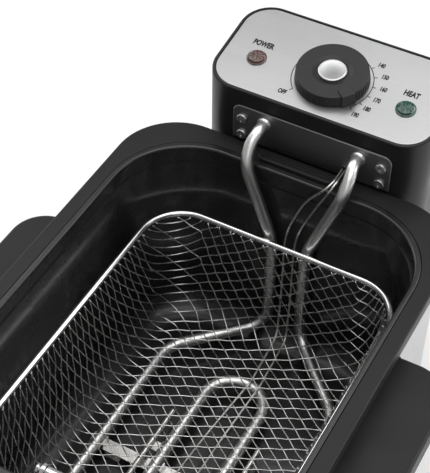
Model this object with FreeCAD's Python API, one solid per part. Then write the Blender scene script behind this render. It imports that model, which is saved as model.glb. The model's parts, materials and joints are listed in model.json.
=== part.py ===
import FreeCAD, Part
import math
import os

# Immersion-type deep fryer with a lift-out control head, oil pot and wire basket.
# Drawing coordinates, millimetres: x = 0 is the plane of symmetry, y = 0 the back edge of
# the rim, z = 0 the rim's top face, the front is -Y. save() moves every solid into the
# part's own frame, whose origin is the bottom centre of the whole object.

# ---- rim, housing and base ---------------------------------------------------------------
RIM_HALF_WIDTH = 130.0
RIM_LENGTH = 346.0
RIM_CORNER_RADIUS = 48.0
RIM_HEIGHT = 205.0            # floor to the rim's top face
RIM_SKIRT = 10.4
BAND_SIDE = 11.0              # width of the flat band along the sides
BAND_END = 14.4               # and across the back and the front
OPENING_RADIUS = 62.0
LEDGE_DEPTH = 2.4
SLEEVE_INSET = 6.0
SLEEVE_WALL = 1.0
FOOT_HEIGHT = 6.0
BASE_HEIGHT = 21.0
BASE_WALL = 2.5

# ---- oil pot -----------------------------------------------------------------------------
POT_WALL = 1.2
POT_GAP = 3.9                 # from the rim's opening to the inside of the pot
SHOULDER_Z = -14.0
SHOULDER_STEP = 1.0
POT_FLOOR_Z = -172.0
POT_FLOOR_RADIUS = 24.0
FLANGE_TOP = 0.6              # the pot's lip stands this far above the rim
LIP_RADIUS = 2.0

# ---- side carry handles ------------------------------------------------------------------
WING_HALF_SPAN = 168.0
WING_LENGTH = 124.0
WING_TOP_Z = -28.0
WING_THICKNESS = 17.0
WING_CORNER = 27.0
WING_WALL = 3.5

# ---- control head ------------------------------------------------------------------------
HEAD_HALF_WIDTH = 88.0
HEAD_DEPTH = 87.5
HEAD_FRONT_Y = 0.5
HEAD_BOTTOM_Z = -72.0
HEAD_CORNER = 24.0
HEAD_WALL = 2.5
PANEL_TILT = 8.5              # degrees
PANEL_FRONT_Z = 46.0
PANEL_HALF_WIDTH = 85.4
PANEL_MARGIN = 2.4
PANEL_CORNER = 21.5
PANEL_THICK = 1.2
PANEL_EDGE = 0.9              # radius of the panel's rolled edge
PANEL_RECESS = 0.3
DIAL_V = 38.5                 # up the slope from the head's front edge
LAMP_X = 59.4
LAMP_V = 34.0
LAMP_RADIUS = 7.0

# ---- knob --------------------------------------------------------------------------------
KNOB_RADIUS = 27.6
KNOB_HEIGHT = 8.6
KNOB_GAP = 0.6                # from the panel to the knob's foot
KNOB_RECESS = 2.0
KNOB_HOLLOW = 3.0
KNOB_CAP_RADIUS = 10.6
KNOB_CAP_HEIGHT = 2.6
KNOB_PLAIN_EDGE = 1.6         # left smooth above the ribs
POINTER_RISE = 1.3
POINTER_WIDTH = 10.5
SHAFT_STOP = 2.6              # from the knob's top down to the end of its bore
KNOB_POINTER_ANGLE = -40.0    # degrees from +X, at the hottest setting
SHAFT_RADIUS = 3.0
RUNNING_GAP = 0.05

# ---- heating element ---------------------------------------------------------------------
TUBE_RADIUS = 4.5
TUBE_EXIT_X = 37.6
TUBE_EXIT_Z = 23.7
STEM_Y = -28.5
ELEMENT_CENTRE_X = 4.0
STEM_HALF_GAP = 14.0
ELEMENT_Z = -158.0
LOOP_SIDE_X = 73.0            # outer runs, from the element's centre line
LOOP_INNER_X = 24.0
LOOP_FRONT_Y = -297.0
LOOP_BACK_Y = -92.0
BULB_RADIUS = 2.3
CAPILLARY_RADIUS = 0.8
CAPILLARY_EXIT_X = 28.0       # from the mounting plate's middle
CAPILLARY_EXIT_Z = 9.0
STRAP_THICK = 1.2

# ---- element mounting plate --------------------------------------------------------------
PLATE_CENTRE_X = 3.4
PLATE_HALF_WIDTH = 63.0
PLATE_BOTTOM_Z = 2.5
PLATE_TOP_Z = 33.6
PLATE_THICK = 1.2
GASKET_THICK = 0.6
PLATE_SCREW_X = 55.4
PLATE_SCREW_Z = (22.4, 7.5)

# ---- basket ------------------------------------------------------------------------------
BASKET_CENTRE_X = 1.6
BASKET_HALF_WIDTH = 100.6
BASKET_BACK_Y = -37.0
BASKET_FRONT_Y = -317.0
BASKET_CORNER = 34.0
BASKET_RIM_Z = -56.0
BASKET_WIRE = 2.4             # radius of the rim wire
BASKET_FLOOR_Z = -147.5
BASKET_TAPER = 12.0
BASKET_MESH = 1.6
BASKET_FLOOR_RADIUS = 18.0
BRACKET_X = 17.0

# ---- basket handle -----------------------------------------------------------------------
HINGE_Y = -319.0
HINGE_Z = 5.0
HANDLE_RISE = 12.0            # degrees above level in use
GRIP_START = 44.0             # from the hinge
GRIP_LENGTH = 122.0
GRIP_TIP_HALF_HEIGHT = 8.2
GRIP_WIRE_X = 7.0

# ---- guide rails, interlock, reset, cord inlet -------------------------------------------
RAIL_X = 50.0
RAIL_WEB = 4.0
RAIL_FLANGE = 14.0
INTERLOCK_X = 20.0
INTERLOCK_Y = 24.0
PLUNGER_RADIUS = 2.5
RESET_X = -40.0
RESET_Z = -22.0
GLAND_X = 44.0
GLAND_Z = -44.0
GLAND_BORE = 3.6
GLAND_LENGTH = 14.0
GLAND_INSIDE = 6.0

HEAD_BACK_Y = HEAD_FRONT_Y + HEAD_DEPTH
COVER_SKIN_Y = HEAD_BACK_Y - 0.3
BACK_REACH = COVER_SKIN_Y + GLAND_LENGTH - GLAND_INSIDE
HANDLE_RUN = (GRIP_START + GRIP_LENGTH) * math.cos(math.radians(HANDLE_RISE))
GRIP_TIP_OVERHANG = GRIP_TIP_HALF_HEIGHT * math.sin(math.radians(HANDLE_RISE))
FRONT_REACH = HANDLE_RUN + GRIP_TIP_OVERHANG - HINGE_Y
PART_Y = (FRONT_REACH - BACK_REACH) / 2       # the rim's back edge in the part's own frame

X_AXIS = FreeCAD.Vector(1, 0, 0)
Y_AXIS = FreeCAD.Vector(0, 1, 0)
Z_AXIS = FreeCAD.Vector(0, 0, 1)


def vec(x, y, z):
    return FreeCAD.Vector(x, y, z)


def save(name, shape):
    placed = shape.copy()
    placed.translate(vec(0, PART_Y, RIM_HEIGHT))
    box = placed.BoundBox
    state = "ok" if placed.isValid() else "INVALID"
    sizes = [round(v, 1) for v in (box.XMin, box.XMax, box.YMin, box.YMax, box.ZMin, box.ZMax)]
    print(f"{name:24s} {state} solids {len(placed.Solids)} volume {placed.Volume:10.0f} {sizes}")
    placed.exportStep(f"parts/{name}.step")


# ---- shape helpers -----------------------------------------------------------------------

def rounded_wire(half_x, y_back, y_front, radius, z):
    """A closed rounded rectangle, level at height z."""
    turn = radius * (1 - math.sqrt(0.5))
    corners = []
    for side, y_end in ((1, y_back), (-1, y_back), (-1, y_front), (1, y_front)):
        inward = -1 if y_end == y_back else 1
        on_side = vec(side * half_x, y_end + inward * radius, z)
        on_end = vec(side * (half_x - radius), y_end, z)
        middle = vec(side * (half_x - turn), y_end + inward * turn, z)
        corners.append((on_side, middle, on_end))
    first, second, third, fourth = corners
    edges = [Part.Arc(*first).toShape(), Part.LineSegment(first[2], second[2]).toShape(),
             Part.Arc(second[2], second[1], second[0]).toShape(),
             Part.LineSegment(second[0], third[0]).toShape(), Part.Arc(*third).toShape(),
             Part.LineSegment(third[2], fourth[2]).toShape(),
             Part.Arc(fourth[2], fourth[1], fourth[0]).toShape(),
             Part.LineSegment(fourth[0], first[0]).toShape()]
    return Part.Wire(edges)


def rounded_block(half_x, y_back, y_front, radius, z_low, z_high):
    face = Part.Face(rounded_wire(half_x, y_back, y_front, radius, z_low))
    return face.extrude(vec(0, 0, z_high - z_low))


def rim_wire(inset_side, inset_end, radius, z):
    return rounded_wire(RIM_HALF_WIDTH - inset_side, -inset_end, -RIM_LENGTH + inset_end, radius, z)


def rim_block(inset_side, inset_end, radius, z_low, z_high):
    face = Part.Face(rim_wire(inset_side, inset_end, radius, z_low))
    return face.extrude(vec(0, 0, z_high - z_low))


def box_between(low, high):
    size = high - low
    return Part.makeBox(size.x, size.y, size.z, low)


def cylinder(radius, start, end):
    run = end - start
    return Part.makeCylinder(radius, run.Length, start, run)


def ring(outer, inner, start, end):
    return cylinder(outer, start, end).cut(cylinder(inner, start, end))


def edges_at(shape, z):
    """Edges that lie wholly at height z."""
    return [edge for edge in shape.Edges
            if abs(edge.BoundBox.ZMin - z) < 0.01 and abs(edge.BoundBox.ZMax - z) < 0.01]


def bent_path(points, radii):
    """Straight runs joined by tangent arcs of the given radii at the inner points."""
    edges = []
    start = points[0]
    for index in range(1, len(points) - 1):
        here = points[index]
        before = (here - points[index - 1]).normalize()
        after = (points[index + 1] - here).normalize()
        turn = before.getAngle(after)
        reach = radii[index - 1] * math.tan(turn / 2)
        arc_start = here - before * reach
        arc_end = here + after * reach
        inward = (after - before).normalize()
        middle = here + inward * (radii[index - 1] * (1 / math.cos(turn / 2) - 1))
        edges.append(Part.LineSegment(start, arc_start).toShape())
        edges.append(Part.Arc(arc_start, middle, arc_end).toShape())
        start = arc_end
    edges.append(Part.LineSegment(start, points[-1]).toShape())
    return Part.Wire(edges)


def bent_rod(points, radii, radius):
    path = bent_path(points, radii)
    profile = Part.Wire(Part.makeCircle(radius, points[0], points[1] - points[0]))
    return path.makePipeShell([profile], True, True)


def mirror_x(shape, centre_x=0.0):
    return shape.mirror(vec(centre_x, 0, 0), X_AXIS)


def tilt(shape):
    """Moves a shape drawn as x, distance up the slope and height onto the sloping panel."""
    moved = shape.copy()
    moved.rotate(vec(0, 0, 0), X_AXIS, PANEL_TILT)
    moved.translate(vec(0, HEAD_FRONT_Y, PANEL_FRONT_Z))
    return moved


def pan_head_screw(head_radius, head_height, shank_radius, shank_length):
    """Stands on the origin with its shank down, and a cross recess in its head."""
    head = Part.makeCylinder(head_radius, head_height)
    head = head.makeFillet(head_height * 0.55, edges_at(head, head_height))
    corner = vec(-head_radius * 0.55, -0.5, head_height * 0.45)
    slot = Part.makeBox(head_radius * 1.1, 1.0, head_height, corner)
    cross = slot.fuse(slot.rotated(vec(0, 0, 0), Z_AXIS, 90))
    shank = Part.makeCylinder(shank_radius, shank_length, vec(0, 0, -shank_length))
    return head.cut(cross).fuse(shank)


def screws_facing(direction, places, head_radius, head_height, shank_radius, shank_length):
    turn = FreeCAD.Rotation(Z_AXIS, direction)
    solids = []
    for place in places:
        screw = pan_head_screw(head_radius, head_height, shank_radius, shank_length)
        screw.Placement = FreeCAD.Placement(place, turn)
        solids.append(screw)
    return Part.makeCompound(solids)


# ---- housing -----------------------------------------------------------------------------

def top_bezel():
    outer = rim_block(0, 0, RIM_CORNER_RADIUS, -RIM_SKIRT, 0)
    outer = outer.makeFillet(1.4, edges_at(outer, 0))
    well = rim_block(BAND_SIDE, BAND_END, OPENING_RADIUS, -LEDGE_DEPTH, 1)
    throat = rim_block(BAND_SIDE + 3.0, BAND_END + 3.0, OPENING_RADIUS - 3.0, -RIM_SKIRT - 1, 1)
    channel = rim_block(2.2, 2.2, RIM_CORNER_RADIUS - 2.2, -RIM_SKIRT - 1, -4.6)
    lining = rim_block(BAND_SIDE + 0.8, BAND_END + 0.8, OPENING_RADIUS - 0.8, -RIM_SKIRT, -4.6)
    return outer.cut(channel.cut(lining)).cut(well).cut(throat)


def outer_sleeve():
    low = -RIM_HEIGHT + FOOT_HEIGHT + BASE_HEIGHT - 6.0
    radius = RIM_CORNER_RADIUS - SLEEVE_INSET
    outer = rim_block(SLEEVE_INSET, SLEEVE_INSET, radius, low, -4.6)
    inset = SLEEVE_INSET + SLEEVE_WALL
    return outer.cut(rim_block(inset, inset, radius - SLEEVE_WALL, low - 1, 0))


def base_tray():
    low = -RIM_HEIGHT + FOOT_HEIGHT
    high = low + BASE_HEIGHT
    seam = high - 6.0
    outer = rim_block(4.0, 4.0, RIM_CORNER_RADIUS - 4.0, low, seam)
    outer = outer.makeFillet(5.0, edges_at(outer, low))
    step = SLEEVE_INSET + SLEEVE_WALL + 0.2
    upstand = rim_block(step, step, RIM_CORNER_RADIUS - step, seam, high)
    wall = step + BASE_WALL
    hollow = rim_block(wall, wall, RIM_CORNER_RADIUS - wall, low + BASE_WALL, high + 1)
    tray = outer.fuse(upstand).cut(hollow)
    for x, y in foot_places():
        boss = cylinder(7.0, vec(x, y, low + BASE_WALL), vec(x, y, low + 12.0))
        tray = tray.fuse(boss)
    for x, y in foot_places():
        tray = tray.cut(cylinder(2.0, vec(x, y, low - 1), vec(x, y, low + 10.0)))
    for index in range(9):
        y = -RIM_LENGTH / 2 + (index - 4) * 14.0
        tray = tray.cut(box_between(vec(-30, y - 2, low - 1), vec(30, y + 2, low + BASE_WALL + 1)))
    return tray


def foot_places():
    for side in (-1, 1):
        for y in (-46.0, -RIM_LENGTH + 46.0):
            yield side * 88.0, y


def rubber_feet():
    solids = []
    for x, y in foot_places():
        foot = cylinder(12.0, vec(x, y, -RIM_HEIGHT), vec(x, y, -RIM_HEIGHT + FOOT_HEIGHT))
        foot = foot.makeFillet(1.5, edges_at(foot, -RIM_HEIGHT))
        foot = foot.cut(cylinder(5.0, vec(x, y, -RIM_HEIGHT - 1), vec(x, y, -RIM_HEIGHT + 4.0)))
        solids.append(foot.cut(cylinder(2.0, vec(x, y, -RIM_HEIGHT), vec(x, y, 0))))
    return Part.makeCompound(solids)


def base_screws():
    places = [vec(x, y, -RIM_HEIGHT + 4.0) for x, y in foot_places()]
    return screws_facing(vec(0, 0, -1), places, 4.0, 2.4, 1.95, 11.0)


def carry_handle():
    """The right one. A hollow wing that hooks over the sleeve, open below for the fingers."""
    root = RIM_HALF_WIDTH - SLEEVE_INSET
    back = -RIM_LENGTH / 2 + WING_LENGTH / 2
    front = -RIM_LENGTH / 2 - WING_LENGTH / 2
    low = WING_TOP_Z - WING_THICKNESS
    outer = rounded_block(WING_HALF_SPAN, back, front, WING_CORNER, low, WING_TOP_Z)
    outer = outer.makeFillet(3.0, edges_at(outer, WING_TOP_Z))
    inner = rounded_block(WING_HALF_SPAN - WING_WALL, back - WING_WALL, front + WING_WALL,
                          WING_CORNER - WING_WALL, low - 1, WING_TOP_Z - WING_WALL - 0.5)
    wing = outer.cut(inner)
    wing = wing.common(box_between(vec(root, front - 1, low), vec(200, back + 1, 0)))
    plate = box_between(vec(root, front, low - 6), vec(root + 3.0, back, WING_TOP_Z - 1.0))
    wing = wing.fuse(plate)
    for offset in (-30.0, 0.0, 30.0):
        y = -RIM_LENGTH / 2 + offset
        rib = box_between(vec(root, y - 1.5, low + 5), vec(root + 18.0, y + 1.5, WING_TOP_Z - 3.0))
        wing = wing.fuse(rib)
    for place in handle_screw_places():
        wing = wing.cut(cylinder(2.1, place - vec(10, 0, 0), place + vec(10, 0, 0)))
    return wing.removeSplitter()


def handle_screw_places():
    root = RIM_HALF_WIDTH - SLEEVE_INSET
    for offset in (-46.0, 46.0):
        yield vec(root + 3.0, -RIM_LENGTH / 2 + offset, WING_TOP_Z - WING_THICKNESS - 0.5)


def handle_screws():
    right = screws_facing(X_AXIS, list(handle_screw_places()), 3.6, 2.2, 2.0, 2.9)
    return Part.makeCompound([right, mirror_x(right)])


def head_guide_rails():
    """Two T-shaped uprights on a back plate. The control head slides down over them."""
    skin = -SLEEVE_INSET
    plate = box_between(vec(-66, skin, -150), vec(66, skin + 1.5, -14))
    web_low = vec(RAIL_X - RAIL_WEB / 2, skin, -146)
    web = box_between(web_low, vec(RAIL_X + RAIL_WEB / 2, HEAD_FRONT_Y + HEAD_WALL + 1.0, -18))
    flange_front = HEAD_FRONT_Y + HEAD_WALL + 1.0
    flange = box_between(vec(RAIL_X - RAIL_FLANGE / 2, flange_front, -146),
                         vec(RAIL_X + RAIL_FLANGE / 2, flange_front + 2.0, -18))
    rail = web.fuse(flange)
    shelf = box_between(vec(-30, skin, -84), vec(40, INTERLOCK_Y + 8, -81))
    gusset = box_between(vec(3, skin, -100), vec(6, INTERLOCK_Y, -83))
    peg = cylinder(2.2, vec(INTERLOCK_X, INTERLOCK_Y, -82), vec(INTERLOCK_X, INTERLOCK_Y, -75.0))
    rails = plate.fuse([rail, mirror_x(rail), shelf, gusset, peg])
    for place in rail_screw_places():
        rails = rails.cut(cylinder(2.0, place - vec(0, 4, 0), place + vec(0, 4, 0)))
    return rails.removeSplitter()


def rail_screw_places():
    for x in (-34.0, 34.0):
        for z in (-24.0, -138.0):
            yield vec(x, -SLEEVE_INSET + 1.5, z)


def rail_screws():
    return screws_facing(Y_AXIS, list(rail_screw_places()), 3.4, 1.8, 1.9, 1.4)


def rim_rest_pad():
    """Ribbed pad on the rim between the heater tubes."""
    pad = box_between(vec(-34, -BAND_END + 0.1, 0), vec(28, -5.0, 3.0))
    corners = [e for e in pad.Edges if e.BoundBox.ZLength > 2.9 and e.BoundBox.YMin < -BAND_END + 0.2]
    pad = pad.makeFillet(6.0, corners)
    top = edges_at(pad, 3.0)
    pad = pad.makeFillet(1.2, [e for e in top if e.BoundBox.YMax < -5.2 or e.BoundBox.YLength > 0.1])
    for index in range(3):
        y = -11.6 + index * 2.4
        pad = pad.cut(box_between(vec(-31, y, 2.4), vec(25, y + 0.9, 4)))
    return pad


# ---- oil pot -----------------------------------------------------------------------------

def pot_block(grow, z_low, z_high):
    side = BAND_SIDE + POT_GAP + 0.7 - grow
    end = BAND_END + POT_GAP + 2.3 - grow
    return rim_block(side, end, OPENING_RADIUS - POT_GAP + grow, z_low, z_high)


def pot_body(grow, floor_z, floor_radius):
    upper = pot_block(grow, SHOULDER_Z, 3.0)
    lower = pot_block(grow - SHOULDER_STEP, floor_z, SHOULDER_Z)
    lower = lower.makeFillet(floor_radius, edges_at(lower, floor_z))
    return upper.fuse(lower)


def oil_pot():
    inner = pot_body(0, POT_FLOOR_Z, POT_FLOOR_RADIUS)
    outer = pot_body(POT_WALL, POT_FLOOR_Z - POT_WALL, POT_FLOOR_RADIUS + POT_WALL)
    outer = outer.common(box_between(vec(-200, -400, -300), vec(200, 100, -1.0)))
    flange = rim_block(BAND_SIDE + 0.5, BAND_END + 0.5, OPENING_RADIUS - 0.5, -LEDGE_DEPTH, FLANGE_TOP)
    flange = flange.makeFillet(1.0, edges_at(flange, FLANGE_TOP))
    pot = outer.fuse(flange).cut(inner)
    mouth = pot_block(0.05, FLANGE_TOP - 0.1, FLANGE_TOP + 0.1).BoundBox
    lip = [edge for edge in edges_at(pot, FLANGE_TOP) if mouth.isInside(edge.BoundBox)]
    return pot.makeFillet(LIP_RADIUS, lip)


# ---- control head ------------------------------------------------------------------------

def above_slope(height):
    """Everything higher than the sloping top, set off by the given height."""
    block = Part.makeBox(400, 400, 200, vec(-200, -150, height))
    return tilt(block)


def head_shell():
    top = PANEL_FRONT_Z + 40
    outer = rounded_block(HEAD_HALF_WIDTH, HEAD_BACK_Y, HEAD_FRONT_Y, HEAD_CORNER, HEAD_BOTTOM_Z, top)
    outer = outer.cut(above_slope(0))
    slope = [edge for edge in outer.Edges if edge.BoundBox.ZMin > PANEL_FRONT_Z - 1]
    outer = outer.makeFillet(1.2, slope)
    inner_radius = HEAD_CORNER - HEAD_WALL
    inner = rounded_block(HEAD_HALF_WIDTH - HEAD_WALL, HEAD_BACK_Y - HEAD_WALL,
                          HEAD_FRONT_Y + HEAD_WALL, inner_radius, HEAD_BOTTOM_Z - 1, top)
    inner = inner.cut(above_slope(-PANEL_RECESS - PANEL_THICK - 2.0))
    shell = outer.cut(inner)
    shell = shell.cut(tilt(panel_outline(0.15, -PANEL_RECESS - PANEL_THICK, 2.0)))
    shell = shell.cut(tilt(panel_outline(-3.0, -8.0, 2.0)))
    for side in (-1, 1):
        x = side * RAIL_X
        slot = box_between(vec(x - RAIL_WEB / 2 - 0.8, HEAD_FRONT_Y - 2, HEAD_BOTTOM_Z - 1),
                           vec(x + RAIL_WEB / 2 + 0.8, HEAD_FRONT_Y + HEAD_WALL + 1, -15.0))
        shell = shell.cut(slot)
        tube = tube_exit(side, HEAD_FRONT_Y)
        shell = shell.cut(cylinder(6.5, tube - vec(0, 3, 0), tube + vec(0, 5, 0)))
    shell = shell.cut(cylinder(3.0, capillary_exit(-3), capillary_exit(8)))
    for place in plate_screw_places():
        shell = shell.cut(cylinder(2.2, place, place + vec(0, 8, 0)))
    window = rounded_block_y(58.0, -62.0, 12.0, 8.0, HEAD_BACK_Y - HEAD_WALL - 1, HEAD_BACK_Y + 1)
    return shell.cut(window).removeSplitter()


def rounded_block_y(half_x, z_low, z_high, radius, y_low, y_high):
    """An upright rounded rectangle, thick along Y."""
    block = box_between(vec(-half_x, y_low, z_low), vec(half_x, y_high, z_high))
    return block.makeFillet(radius, [e for e in block.Edges if e.BoundBox.YLength > y_high - y_low - 0.01])


def panel_outline(grow, w_low, w_high):
    length = HEAD_DEPTH / math.cos(math.radians(PANEL_TILT))
    return rounded_block(PANEL_HALF_WIDTH + grow, length - PANEL_MARGIN + grow,
                         PANEL_MARGIN - grow, PANEL_CORNER + grow, w_low, w_high)


def control_panel():
    panel = panel_outline(0, -PANEL_RECESS - PANEL_THICK, -PANEL_RECESS)
    panel = panel.makeFillet(PANEL_EDGE, edges_at(panel, -PANEL_RECESS))
    panel = panel.cut(cylinder(SHAFT_RADIUS + 1.2, vec(0, DIAL_V, -5), vec(0, DIAL_V, 5)))
    for side in (-1, 1):
        x = side * LAMP_X
        panel = panel.cut(cylinder(LAMP_RADIUS, vec(x, LAMP_V, -5), vec(x, LAMP_V, 5)))
    return tilt(panel)


def lamp_lens(side):
    """Round lens with a thin collar on the panel and a plug that fills the panel's hole."""
    x = side * LAMP_X
    base = -PANEL_RECESS
    plug = cylinder(LAMP_RADIUS - 0.05, vec(x, LAMP_V, base - 6), vec(x, LAMP_V, base))
    collar = cylinder(LAMP_RADIUS + 0.6, vec(x, LAMP_V, base), vec(x, LAMP_V, base + 1.0))
    dome = cylinder(LAMP_RADIUS - 0.4, vec(x, LAMP_V, base + 1.0), vec(x, LAMP_V, base + 3.0))
    dome = dome.makeFillet(1.6, edges_at(dome, base + 3.0))
    return tilt(plug.fuse([collar, dome]))


def lamp_holders():
    solids = []
    for side in (-1, 1):
        x = side * LAMP_X
        top = vec(x, LAMP_V, -PANEL_RECESS - 6)
        body = cylinder(5.5, top - vec(0, 0, 16), top)
        ends = [vec(x + dx, LAMP_V, top.z - 16) for dx in (-2.2, 2.2)]
        leads = [cylinder(0.9, end - vec(0, 0, 6), end) for end in ends]
        solids.append(tilt(body.fuse(leads)))
    return Part.makeCompound(solids)


def head_bottom_cover():
    inset = HEAD_WALL + 0.2
    cover = rounded_block(HEAD_HALF_WIDTH - inset, HEAD_BACK_Y - inset, HEAD_FRONT_Y + inset,
                          HEAD_CORNER - inset, HEAD_BOTTOM_Z, HEAD_BOTTOM_Z + 2.5)
    notch_back = HEAD_FRONT_Y + HEAD_WALL + 1.0 + 2.0 + 1.0
    for side in (-1, 1):
        x = side * RAIL_X
        half = RAIL_FLANGE / 2 + 1.0
        cover = cover.cut(box_between(vec(x - half, -5, HEAD_BOTTOM_Z - 1),
                                      vec(x + half, notch_back, HEAD_BOTTOM_Z + 4)))
    hole = vec(INTERLOCK_X, INTERLOCK_Y, HEAD_BOTTOM_Z)
    cover = cover.cut(cylinder(PLUNGER_RADIUS + 0.3, hole - vec(0, 0, 1), hole + vec(0, 0, 5)))
    for place in bottom_screw_places():
        cover = cover.cut(cylinder(1.8, place - vec(0, 0, 1), place + vec(0, 0, 4)))
    for index in range(6):
        x = -25 + index * 10.0
        cover = cover.cut(box_between(vec(x - 1.5, 46, HEAD_BOTTOM_Z - 1),
                                      vec(x + 1.5, 70, HEAD_BOTTOM_Z + 4)))
    return cover


def bottom_screw_places():
    for x in (-68.0, 68.0):
        yield vec(x, 62.0, HEAD_BOTTOM_Z)


def bottom_screws():
    return screws_facing(vec(0, 0, -1), list(bottom_screw_places()), 3.2, 1.8, 1.7, 8.0)


def head_back_cover():
    """Service cover in the window of the head's back wall, with vent slots and two holes."""
    skin = HEAD_BACK_Y
    cover = rounded_block_y(57.8, -61.8, 11.8, 7.8, skin - HEAD_WALL, skin - 0.3)
    flange = rounded_block_y(61.5, -65.5, 15.5, 10.0, skin - HEAD_WALL - 2.0, skin - HEAD_WALL)
    cover = cover.fuse(flange)
    for index in range(7):
        x = -24 + index * 8.0
        cover = cover.cut(box_between(vec(x - 1.6, skin - 8, -10), vec(x + 1.6, skin + 1, 4)))
    reset = vec(RESET_X, skin, RESET_Z)
    cover = cover.cut(cylinder(4.4, reset - vec(0, 8, 0), reset + vec(0, 2, 0)))
    gland = vec(GLAND_X, skin, GLAND_Z)
    cover = cover.cut(cylinder(6.0, gland - vec(0, 8, 0), gland + vec(0, 2, 0)))
    for place in cover_screw_places():
        cover = cover.cut(cylinder(1.8, place - vec(0, 8, 0), place + vec(0, 2, 0)))
    return cover


def cover_screw_places():
    for x in (-51.0, 51.0):
        for z in (-55.0, 5.0):
            yield vec(x, COVER_SKIN_Y, z)


def cover_screws():
    return screws_facing(Y_AXIS, list(cover_screw_places()), 3.2, 1.8, 1.7, 9.0)


def cord_gland():
    skin = COVER_SKIN_Y
    front = vec(GLAND_X, skin - GLAND_INSIDE, GLAND_Z)
    back = vec(GLAND_X, skin + GLAND_LENGTH - GLAND_INSIDE, GLAND_Z)
    barrel = cylinder(5.9, front, back)
    barrel = barrel.makeChamfer(1.2, [e for e in barrel.Edges if e.BoundBox.YMin > back.y - 0.1])
    collar = cylinder(8.5, vec(GLAND_X, skin, GLAND_Z), vec(GLAND_X, skin + 2.0, GLAND_Z))
    nut_back = skin - HEAD_WALL - 1.7
    nut = cylinder(8.5, vec(GLAND_X, nut_back - 2.8, GLAND_Z), vec(GLAND_X, nut_back, GLAND_Z))
    nut = nut.common(box_between(front - vec(9, 9, 7.3), front + vec(9, 19, 7.3)))
    gland = barrel.fuse([collar, nut])
    return gland.cut(cylinder(GLAND_BORE, front - vec(0, 1, 0), back + vec(0, 1, 0)))


def element_mount_plate():
    face = HEAD_FRONT_Y - GASKET_THICK
    plate = mount_plate_block(0, face - PLATE_THICK, face)
    plate = plate.makeChamfer(0.4, [e for e in plate.Edges if e.BoundBox.YMax < face - PLATE_THICK + 0.01])
    return plate.cut(plate_holes(TUBE_RADIUS + 0.05))


def tube_exit(side, y):
    return vec(PLATE_CENTRE_X + side * TUBE_EXIT_X, y, TUBE_EXIT_Z)


def capillary_exit(y):
    return vec(PLATE_CENTRE_X + CAPILLARY_EXIT_X, y, CAPILLARY_EXIT_Z)


def mount_plate_block(inset, y_low, y_high):
    half_width = PLATE_HALF_WIDTH - inset
    block = box_between(vec(PLATE_CENTRE_X - half_width, y_low, PLATE_BOTTOM_Z + inset),
                        vec(PLATE_CENTRE_X + half_width, y_high, PLATE_TOP_Z - inset))
    upright = [e for e in block.Edges if e.BoundBox.YLength > y_high - y_low - 0.01]
    top = [e for e in upright if e.BoundBox.ZMin > PLATE_TOP_Z - inset - 0.1]
    return block.makeFillet(6.5, top)


def plate_holes(tube_hole):
    holes = []
    for side in (-1, 1):
        tube = tube_exit(side, HEAD_FRONT_Y)
        holes.append(cylinder(tube_hole, tube - vec(0, 6, 0), tube + vec(0, 6, 0)))
    holes.append(cylinder(2.2, capillary_exit(-6), capillary_exit(6)))
    for place in plate_screw_places():
        holes.append(cylinder(2.0, place - vec(0, 3, 0), place + vec(0, 4, 0)))
    return Part.makeCompound(holes)


def plate_screw_places():
    for side in (-1, 1):
        for z in PLATE_SCREW_Z:
            x = PLATE_CENTRE_X + side * PLATE_SCREW_X
            yield vec(x, HEAD_FRONT_Y - GASKET_THICK - PLATE_THICK, z)


def plate_screws():
    return screws_facing(vec(0, -1, 0), list(plate_screw_places()), 4.1, 1.9, 1.95, 6.0)


def plate_gasket():
    gasket = mount_plate_block(1.0, HEAD_FRONT_Y - GASKET_THICK, HEAD_FRONT_Y)
    return gasket.cut(plate_holes(TUBE_RADIUS + 0.3))


def head_chassis():
    """Steel plate inside the head behind its front wall. The element's plate screws into it."""
    low_y = HEAD_FRONT_Y + HEAD_WALL
    plate = box_between(vec(-64, low_y, -8), vec(64, low_y + 1.5, 34))
    shelf = box_between(vec(-34, low_y, 0), vec(34, 60, 1.5))
    chassis = plate.fuse(shelf).cut(plate_holes(6.5))
    for side in (-1, 1):
        chassis = chassis.cut(cylinder(6.5, tube_exit(side, low_y - 1), tube_exit(side, low_y + 4)))
    for place in plate_screw_places():
        chassis = chassis.cut(cylinder(2.0, place, place + vec(0, 10, 0)))
    return chassis.cut(cylinder(2.6, capillary_exit(0), capillary_exit(8)))


def element_ferrules():
    solids = []
    face = HEAD_FRONT_Y - GASKET_THICK - PLATE_THICK
    for side in (-1, 1):
        start = tube_exit(side, face)
        cone = Part.makeCone(TUBE_RADIUS + 1.1, TUBE_RADIUS + 0.5, 1.4, start, vec(0, -1, 0))
        solids.append(cone.cut(cylinder(TUBE_RADIUS, start + vec(0, 1, 0), start - vec(0, 9, 0))))
    return Part.makeCompound(solids)


# ---- heating element ---------------------------------------------------------------------

def element_half_route(side):
    """From the terminal inside the head to the front of the M, right half first."""
    centre = ELEMENT_CENTRE_X
    mid_x = (LOOP_SIDE_X + LOOP_INNER_X) / 2
    return [tube_exit(side, 24),
            tube_exit(side, -9.5),
            vec(PLATE_CENTRE_X + side * 41.0, STEM_Y, 13.0),
            vec(centre + side * STEM_HALF_GAP, STEM_Y, -62.0),
            vec(centre + side * STEM_HALF_GAP, STEM_Y, ELEMENT_Z),
            vec(centre + side * LOOP_SIDE_X, -89.0, ELEMENT_Z),
            vec(centre + side * LOOP_SIDE_X, LOOP_FRONT_Y, ELEMENT_Z),
            vec(centre + side * mid_x, LOOP_FRONT_Y, ELEMENT_Z)]


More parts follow.
